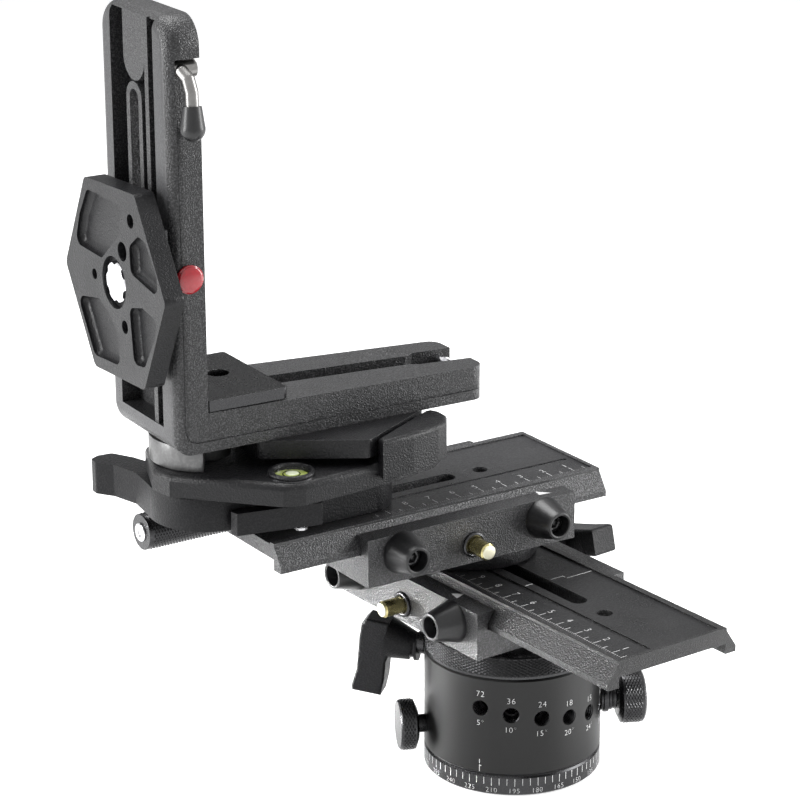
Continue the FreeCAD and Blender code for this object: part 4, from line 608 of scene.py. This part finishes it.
# %% Points and faces of a grid
def grid_faces(rows, columns, close_rows=False):
    """Faces between neighbours of a grid whose columns run round and meet."""
    i, j = np.meshgrid(np.arange(rows if close_rows else rows - 1), np.arange(columns), indexing="ij")
    up, over = (i + 1) % rows, (j + 1) % columns
    corners = (i * columns + j, i * columns + over, up * columns + over, up * columns + j)
    return np.stack(corners, -1).reshape(-1, 4)


def around(place, origin, axis, lengths, radii, angles):
    """Points at: origin + axis * length + radius * (u * cos(angle) + w * sin(angle)),
    where u and w are square to the axis. Returns them in world metres."""
    axis = np.array(axis, float) / np.linalg.norm(axis)
    u = np.array([1.0, 0, 0]) if abs(axis[2]) > 0.9 else np.array([0, 0, 1.0])
    w = np.cross(axis, u)
    lengths, radii, angles = np.broadcast_arrays(lengths, radii, angles)
    points = (np.array(origin, float) + axis * lengths[..., None]
              + u * (radii * np.cos(angles))[..., None] + w * (radii * np.sin(angles))[..., None])
    return place.world(points)


def full_turn(columns):
    """Evenly spaced angles of one full turn, as one row."""
    return np.linspace(0, 2 * math.pi, columns, endpoint=False)[None, :]


def radial(degrees):
    """The horizontal direction at a bearing."""
    return (math.cos(math.radians(degrees)), math.sin(math.radians(degrees)), 0)


print("grid of 3 x 8:", len(grid_faces(3, 8)), "faces")

# %% [markdown]
# A piece is often several such surfaces, so one helper gathers them, and
# another makes the mesh, merges points that fall together, which closes poles
# and seams, and lets the piece ride on its body. The third turns a profile.


# %% Pieces from points and faces
def gather(parts):
    """Several (points, faces) pairs as one pair."""
    points, faces, count = [], [], 0
    for some_points, some_faces in parts:
        some_points = np.asarray(some_points).reshape(-1, 3)
        points.append(some_points)
        faces += [[count + corner for corner in face] for face in np.asarray(some_faces, object).tolist()]
        count += len(some_points)
    return np.concatenate(points), faces


def add_piece(name, points, faces, material, body, slot=None, smooth=True):
    """A piece from points in world metres, riding on a body."""
    mesh = bpy.data.meshes.new(name)
    faces = faces.tolist() if isinstance(faces, np.ndarray) else faces
    mesh.from_pydata(np.asarray(points).reshape(-1, 3).tolist(), [], faces)
    bulk = bmesh.new()
    bulk.from_mesh(mesh)
    bmesh.ops.remove_doubles(bulk, verts=bulk.verts, dist=1e-6)
    bmesh.ops.dissolve_degenerate(bulk, edges=bulk.edges, dist=1e-7)
    bulk.to_mesh(mesh)
    bulk.free()
    mesh.materials.append(material)
    mesh.polygons.foreach_set("use_smooth", np.full(len(mesh.polygons), smooth))
    thing = bpy.data.objects.new(name, mesh)
    scene.collection.objects.link(thing)
    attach(thing, body)
    return thing


def turned(place, origin, axis, profile, columns=48):
    """A turned shape from a profile of (length, radius) pairs: each pair is
    one ring of points."""
    profile = np.array(profile, float)
    points = around(place, origin, axis, profile[:, :1], profile[:, 1:], full_turn(columns))
    return points.reshape(-1, 3), grid_faces(len(profile), columns)


print("helpers: gather, add_piece, turned")

# %% [markdown]
# ## Diamond knurls
# A knurling tool rolls two sets of slanting grooves into a knob, which leaves
# rows of small pyramids. On a grid round the knob, each point whose row and
# column add up to an even number is a tip, and the others are valleys. Each
# face is split along its valleys, so that four triangles meet at every tip.


# %% The knurled sleeve
def knurled(place, origin, axis, radius, start, end, pitch=1.15, rise=0.3, skin=0.5):
    """A sleeve round an axis: radius + rise at the tips, radius in the valleys
    and at both rims, closed by an inner wall at radius - skin."""
    columns = 2 * round(math.pi * radius / pitch)
    rows = 2 * round((end - start) / pitch) + 1
    i, j = np.meshgrid(np.arange(rows), np.arange(columns), indexing="ij")
    tip = ((i + j) % 2 == 0) & (i > 0) & (i < rows - 1)
    radii = radius + rise * tip
    radii = np.vstack((np.full(columns, radius - skin), radii, np.full(columns, radius - skin)))
    lengths = np.concatenate(([start], np.linspace(start, end, rows), [end]))[:, None]
    angles = (np.arange(columns) * 2 * math.pi / columns)[None, :]
    points = around(place, origin, axis, lengths, radii, angles)
    quads = grid_faces(rows + 2, columns, close_rows=True)
    row, column = quads[:, 0] // columns, quads[:, 0] % columns
    even = ((row - 1 + column) % 2 == 0)[:, None]
    a, b, c, d = quads.T
    first = np.where(even, np.stack((a, b, d), 1), np.stack((a, b, c), 1))
    second = np.where(even, np.stack((b, c, d), 1), np.stack((a, c, d), 1))
    return points.reshape(-1, 3), np.concatenate((first, second))


print("a knob of radius 10 mm has", 2 * round(math.pi * 10 / 1.15), "columns")

# %% [markdown]
# The disc on the drum, the plunger, the drag knob and both feed knobs are
# knurled. Each row gives a place, a point on the axis, the axis, the radius of
# the valleys, the start and the end along the axis, and the body it rides on.

# %% Knurled sleeves
PLUNGER_BEARING, PLUNGER_LEVEL = -28.9, 22.4
DRAG_BEARING, DRAG_LEVEL = 153, 16.3
FEED_Y, FEED_Z = 35.7, -10.7          # the feed shaft, beside and below its plate
SLEEVES = {
    "disc_knurl": (BASE, ORIGIN, UP, 32.1, 46.1, 53.1, "rotor"),
    "plunger_knurl": (BASE, (0, 0, PLUNGER_LEVEL), radial(PLUNGER_BEARING), 9.85, 40.4, 47.2, "plunger"),
    "drag_knurl": (BASE, (0, 0, DRAG_LEVEL), radial(DRAG_BEARING), 9.15, 37.2, 41.8, "drag"),
    "lower_feed_knurl": (LOWER, (0, FEED_Y, FEED_Z), (1, 0, 0), 6.55, -116.3, -81.3, "lower_feed"),
    "upper_feed_knurl": (UPPER, (0, FEED_Y, FEED_Z), (1, 0, 0), 6.55, -116.3, -81.3, "upper_feed"),
}
for name, (place, origin, axis, radius, start, end, body) in SLEEVES.items():
    sleeve = add_piece(name, *knurled(place, origin, axis, radius, start, end), KNURL, body, "anodised",
                       smooth=False)
    print(name, len(sleeve.data.polygons), "triangles")

# %% [markdown]
# ## Screws and small turned parts
# A socket screw is a turned head whose middle drops into a six-sided hole.
# It is still rings of points round an axis: the inner rings follow a hexagon
# instead of a circle, so only their radius changes with the angle.


# %% The socket screw
def socket_screw(place, origin, axis, radius, height, socket, columns=48):
    """Rings: foot, rim, chamfer, hexagon at the top, hexagon at the floor, and
    the centre. The hexagon's radius is socket / cos(angle to its nearest flat)."""
    angles = full_turn(columns)
    flat = np.mod(angles[0] + math.pi / 6, math.pi / 3) - math.pi / 6
    hexagon = socket / np.cos(flat)
    one = np.ones(columns)
    chamfer, mouth, lead, depth = 0.25, 1.12, 0.2, 0.7
    radii = np.stack((one * 0, one * radius, one * radius, one * (radius - chamfer), hexagon * mouth,
                      hexagon, hexagon, one * 0))
    floor_height = (1 - depth) * height
    lengths = np.array([0, 0, height - chamfer, height, height, height - lead, floor_height, floor_height])
    points = around(place, origin, axis, lengths[:, None], radii, angles)
    return points.reshape(-1, 3), grid_faces(8, columns)


print("screw of 48 columns:", len(socket_screw(BASE, ORIGIN, UP, 3, 1, 1.5)[1]), "faces")

# %% [markdown]
# Both slides carry the same small parts: a screw at the end of the feed knob,
# two rubber cones with a screw deep in each, and a domed brass button between
# them. All of these are seen at the front of the slide.

# %% Screws, cones and buttons on both slides
FRONT_X, FRONT_Y = -22.05, -33.5      # middle of a carriage's front face
CONE_SHIFT, CONE_Z, CONE_BORE_FLOOR = 30.3, -9.9, 4.2
BUTTON_Z = -13.6
OUTWARD = (0, -1, 0)
FEED_SCREW_X = -117.7
CONE_LIP = [(9.6, 3.86), (10.2, 3.9), (10.38, 4.15), (10.38, 4.7), (10.15, 5.02), (9.5, 5.14), (9.5, 3.86),
            (9.6, 3.86)]
BUTTON_DOME = [(9.4, 0), (9.4, 2.6), (9.7, 2.6), (9.85, 2.45), (9.95, 2.1), (10.0, 1.0), (10.02, 0.0)]
BUTTON_COLLAR = [(0, 3.2), (1.1, 3.2), (1.1, 4.4), (0.7, 4.7), (0, 4.7), (0, 3.2)]
for prefix, place in STAGES.items():
    carrier = "rotor" if prefix == "lower" else "cross_slide"
    cones = [(FRONT_X + shift, FRONT_Y, CONE_Z) for shift in (-CONE_SHIFT, CONE_SHIFT)]
    button = (FRONT_X, FRONT_Y, BUTTON_Z)
    add_piece(prefix + "_feed_screw",
              *socket_screw(place, (FEED_SCREW_X, FEED_Y, FEED_Z), (-1, 0, 0), 3.4, 0.9, 1.5),
              CHROME, prefix + "_feed", "chrome")
    screws = [socket_screw(place, (x, y - CONE_BORE_FLOOR, z), OUTWARD, 3.5, 2.2, 1.7) for x, y, z in cones]
    add_piece(prefix + "_cone_screws", *gather(screws), SATIN, carrier, "steel")
    lips = [turned(place, cone, OUTWARD, CONE_LIP) for cone in cones]
    add_piece(prefix + "_cone_lips", *gather(lips), SOFT, carrier, "rubber")
    add_piece(prefix + "_button_dome", *turned(place, button, OUTWARD, BUTTON_DOME),
              LIT_BRASS_END, prefix + "_release", "brass")
    add_piece(prefix + "_button_collar", *turned(place, button, OUTWARD, BUTTON_COLLAR),
              SATIN, carrier, "anodised")
print("screws, lips and buttons on both slides")

# %% [markdown]
# ## Threaded index holes
# The plunger screws into one of ten holes that climb round the drum, so each
# of the nine free holes is lined with thread. A thread is a tube whose radius
# swings along its length, and the swing shifts with the angle, which turns
# rings into a helix. The tube's mouth follows the round face of the drum.

# %% Index holes
DRUM_RADIUS = 32.4
HOLE_STEP, HOLE_RISE = 20.0, 1.83     # degrees and millimetres from hole to hole
HOLES_BEFORE, HOLES_AFTER = 3, 6      # holes on both sides of the plunger's own
THREAD_PITCH, THREAD_MIDDLE, THREAD_DEPTH = 0.9, 2.86, 0.14
HOLE_BORE, HOLE_START, HOLE_WALL = 3.0, 26.4, 0.25
FLARE, FLARE_FROM, FLARE_SPAN = 0.3, 0.93, 0.07    # the last shares of the length
MOUTH_SINK, WALL_SINK = 0.05, 0.06    # how far mouth and wall stay below the face
COLUMNS, ROWS = 32, 34


def threaded_tube(bearing, level):
    """A tube with radius = middle + depth * cos(turn * length / pitch - angle),
    flared at its mouth and closed by an outer wall."""
    angles = full_turn(COLUMNS)
    inside = np.linspace(0, 1, ROWS)[:, None]
    mouth = np.sqrt(DRUM_RADIUS ** 2 - (HOLE_BORE * np.sin(angles)) ** 2) - MOUTH_SINK
    lengths = HOLE_START + (mouth - HOLE_START) * inside
    radii = THREAD_MIDDLE + THREAD_DEPTH * np.cos(2 * math.pi * lengths / THREAD_PITCH - angles)
    radii += FLARE * np.clip((inside - FLARE_FROM) / FLARE_SPAN, 0, 1)
    wall = np.full((1, COLUMNS), HOLE_BORE + HOLE_WALL)
    radii = np.vstack((radii, wall, wall))
    lengths = np.vstack((lengths, mouth - WALL_SINK, np.full((1, COLUMNS), HOLE_START)))
    points = around(BASE, (0, 0, level), radial(bearing), lengths, radii, angles)
    return points.reshape(-1, 3), grid_faces(ROWS + 2, COLUMNS, close_rows=True)[:, ::-1]


def hole_at(index):
    """Bearing and level of an index hole, counted from the plunger's own."""
    return PLUNGER_BEARING - HOLE_STEP * index, PLUNGER_LEVEL + HOLE_RISE * index


holes = [threaded_tube(*hole_at(index)) for index in range(-HOLES_BEFORE, HOLES_AFTER + 1) if index != 0]
add_piece("index_threads", *gather(holes), SATIN, "rotor", "anodised")
print("threaded holes:", len(holes))

# %% [markdown]
# ## Numbers and scales
# The scales are printed in white. A line is a flat bar, and a digit is a text
# curve turned into a flat mesh. Both are made in the plane first. A function
# then lays them on their part: on a plate it only adds a place, and on a drum
# it winds x round the axis, because x / radius is an angle.


# %% Flat marks
def bars(rows):
    """Flat bars from rows of (x low, x high, y low, y high), as points and faces."""
    x_low, x_high, y_low, y_high = np.array(rows, float).T
    points = np.stack((np.stack((x_low, y_low), 1), np.stack((x_high, y_low), 1),
                       np.stack((x_high, y_high), 1), np.stack((x_low, y_high), 1)), 1).reshape(-1, 2)
    return points, np.arange(len(points)).reshape(-1, 4).tolist()


def digits(text, height):
    """A number as flat points and faces, centred on zero, with a given height."""
    curve = bpy.data.curves.new("digits", "FONT")
    curve.body = text
    curve.resolution_u = 3
    curve.offset = -0.02
    curve.space_character = 1.1
    holder = bpy.data.objects.new("digits", curve)
    mesh = bpy.data.meshes.new_from_object(holder)
    points = np.empty(len(mesh.vertices) * 3)
    mesh.vertices.foreach_get("co", points)
    points = points.reshape(-1, 3)[:, :2]
    faces = [list(face.vertices) for face in mesh.polygons]
    low, high = points.min(0), points.max(0)
    points = (points - (low + high) / 2) * height / (high[1] - low[1])
    bpy.data.objects.remove(holder)
    bpy.data.curves.remove(curve)
    bpy.data.meshes.remove(mesh)
    return points, faces


PRINT_RISE = 0.04


def on_drum(flat, degrees, level, radius=DRUM_RADIUS + PRINT_RISE):
    """Flat marks wound on a drum: angle = bearing + x / radius, height = level + y."""
    points, faces = flat
    angles = math.radians(degrees) + points[:, 0] / radius
    wound = np.stack((radius * np.cos(angles), radius * np.sin(angles), level + points[:, 1]), 1)
    return wound * MM, faces


def on_plate(flat, place, x, y, level):
    """Flat marks laid on a plate at (x, y, level) of its own place."""
    points, faces = flat
    laid = np.column_stack((points[:, 0] + x, points[:, 1] + y, np.full(len(points), level)))
    return place.world(laid), faces


print("digits in 225:", len(digits("225", 2.0)[1]), "faces")

# %% [markdown]
# The ring below the drum is marked every 5 degrees and numbered every 15. On
# the drum, each index hole has two numbers: how many shots make a full turn
# above it, and how many degrees lie between two shots below it. A short line
# with a gap and a tick is the drum's own pointer.

# %% Degree ring and index numbers
RING_ZERO, RING_MARKS, RING_NUMBERS = 68.8, 5.3, 1.9
MARK_STEP, NUMBER_STEP = 5, 15        # degrees between marks and between numbers
MARK_HALF, MARK_TOP, MARK_FOOT, LONG_FOOT = 0.11, 1.35, -1.35, -1.7
NUMBER_HEIGHT = 1.8
ring = []
for degrees in range(0, 360, MARK_STEP):
    foot = MARK_FOOT if degrees % NUMBER_STEP else LONG_FOOT
    mark = bars([(-MARK_HALF, MARK_HALF, foot, MARK_TOP)])
    ring.append(on_drum(mark, RING_ZERO - degrees, RING_MARKS))
for degrees in range(0, 360, NUMBER_STEP):
    ring.append(on_drum(digits(str(degrees), NUMBER_HEIGHT), RING_ZERO - degrees, RING_NUMBERS))
add_piece("degree_marks", *gather(ring), WHITE, "base", smooth=False)

SHOTS = (4, 6, 8, 10, 12, 15, 18, 24, 36, 72)
LABEL_HEIGHT, LABEL_AWAY = 2.1, 5.6
POINTER_BEARING, POINTER_LEVEL = -149.2, 11.0
labels = []
for index, shots in reversed(list(enumerate(SHOTS, -HOLES_BEFORE))):
    bearing, level = hole_at(index)
    labels.append(on_drum(digits(str(shots), LABEL_HEIGHT), bearing, level + LABEL_AWAY))
    labels.append(on_drum(digits("%d°" % (360 // shots), LABEL_HEIGHT), bearing, level - LABEL_AWAY))
pointer = bars([(-0.13, 0.13, -2.4, 0.3), (-0.13, 0.13, 0.8, 2.4), (0.13, 0.7, -0.2, 0.1)])
labels.append(on_drum(pointer, POINTER_BEARING, POINTER_LEVEL))
add_piece("index_labels", *gather(labels), WHITE, "rotor", smooth=False)
print("ring marks:", len(ring), "labels:", len(labels))

# %% [markdown]
# Each plate has a scale in millimetres along its near side, with a number at
# every centimetre. The carriage under it has a small white triangle to read
# it by. The lower plate also has a few thin marks beside its slot.

# %% Plate scales and pointers
SCALE_START, SCALE_EDGE, NUMBER_LINE = 1.6, -21.3, -14.1
FIRST_MARK, LAST_MARK = 2, 97         # millimetres
LINE_HALF, SHORT_LINE, FIVE_LINE, TEN_LINE = 0.1, 1.3, 3.4, 4.7
SCALE_NUMBER_HEIGHT = 2.7
PRINT_LEVEL = -0.66                   # just above a tray floor
POINTER_TOP = -2.86                   # just above a carriage
PLATE_FRONT = {"lower": 87.8, "upper": 40.0}
SLOT_MARKS = [(15.3, 15.6, -6.8, -3.6), (16.0, 16.3, 4.2, 9.8), (16.0, 17.6, 9.6, 9.9),
              (18.3, 18.6, 9.8, 21.4)]
POINTERS = {"lower": ((1.2, -29.2), (6.0, -30.2), (4.2, -25.7)),
            "upper": ((9.6, -29.0), (14.4, -29.6), (10.4, -25.4))}
PLATE_BODY = {"lower": "cross_slide", "upper": "head"}
CARRIAGE_BODY = {"lower": "rotor", "upper": "cross_slide"}
for prefix, place in STAGES.items():
    zero = PLATE_FRONT[prefix] + SCALE_START
    marks = []
    for step in range(FIRST_MARK, LAST_MARK + 1):
        length = TEN_LINE if step % 10 == 0 else FIVE_LINE if step % 5 == 0 else SHORT_LINE
        marks.append((zero - step - LINE_HALF, zero - step + LINE_HALF, SCALE_EDGE, SCALE_EDGE + length))
    parts = [on_plate(bars(marks), place, 0, 0, PRINT_LEVEL)]
    parts += [on_plate(digits(str(count), SCALE_NUMBER_HEIGHT), place, zero - 10 * count, NUMBER_LINE,
                       PRINT_LEVEL) for count in range(1, 10)]
    if prefix == "lower":
        parts.append(on_plate(bars(SLOT_MARKS), place, 0, 0, PRINT_LEVEL))
    add_piece(prefix + "_scale", *gather(parts), WHITE, PLATE_BODY[prefix], smooth=False)
for prefix, corners in POINTERS.items():
    points = STAGES[prefix].world([(x, y, POINTER_TOP) for x, y in corners])
    add_piece(prefix + "_pointer", points, [[0, 1, 2]], WHITE, CARRIAGE_BODY[prefix], smooth=False)
print("two scales and two pointers")

# %% [markdown]
# ## Bubble level
# A round level is a small cup of yellow-green liquid under a clear lid, with
# one air bubble inside a printed ring. The bubble is a low turned dome, a
# little off centre, and the ring and the cup's rim are turned rings.

# %% Bubble level
LEVEL_PLACE = np.array((-5.6, -26.4, 20.4))
BUBBLE_SHIFT, BUBBLE_RADIUS, BUBBLE_RISE, BUBBLE_FOOT = (0.6, 0.5, 0), 2.3, 0.35, 4.62
bubble = [(BUBBLE_FOOT - 0.02, 0), (BUBBLE_FOOT - 0.02, BUBBLE_RADIUS)]
bubble += [(BUBBLE_FOOT + BUBBLE_RISE * math.cos(a), BUBBLE_RADIUS * math.sin(a))
           for a in np.linspace(1.5, 0, 7)]
level_ring = [(4.66, 2.75), (4.72, 2.8), (4.72, 3.1), (4.66, 3.15), (4.6, 2.95), (4.66, 2.75)]
level_rim = [(4.9, 8.15), (5.7, 8.0), (6.2, 7.5), (6.3, 7.0), (6.0, 6.4), (5.0, 6.05), (4.9, 6.05),
             (4.9, 8.15)]
add_piece("level_bubble", *turned(CLAMP, LEVEL_PLACE + BUBBLE_SHIFT, UP, bubble), AIR, "head", "vial")
add_piece("level_rim", *turned(CLAMP, LEVEL_PLACE, UP, level_rim), SMOOTH_COAT, "head", "anodised")
add_piece("level_ring", *turned(CLAMP, LEVEL_PLACE, UP, level_ring), SATIN, "head", "anodised")
print("level at", (CLAMP.world([LEVEL_PLACE])[0]).round(4))

# %% [markdown]
# ## Red cap
# The red cap is domed like a drop of lacquer. A dome is a quarter of a circle
# turned round its axis: its rings shrink to one point, which is then merged.

# %% The red cap
CAP_BEHIND, CAP_SIDE, CAP_RISE = 5.9, -15.4, 61.5
CAP_FOOT, CAP_EDGE, CAP_DOME, CAP_RADIUS = 1.0, 1.2, 0.75, 4.5
cap_place = (POST_FRONT + CAP_BEHIND, CAP_SIDE, CAP_RISE)
dome = [(CAP_FOOT, 0), (CAP_FOOT, CAP_RADIUS)]
dome += [(CAP_EDGE + CAP_DOME * math.cos(a), CAP_RADIUS * math.sin(a))
         for a in np.linspace(math.pi / 2, 0, 9)]
add_piece("cap_dome", *turned(BRACKET, cap_place, OUTWARD, dome), RED, "head", "red_plastic")
print("cap at", BRACKET.world([cap_place])[0].round(4))
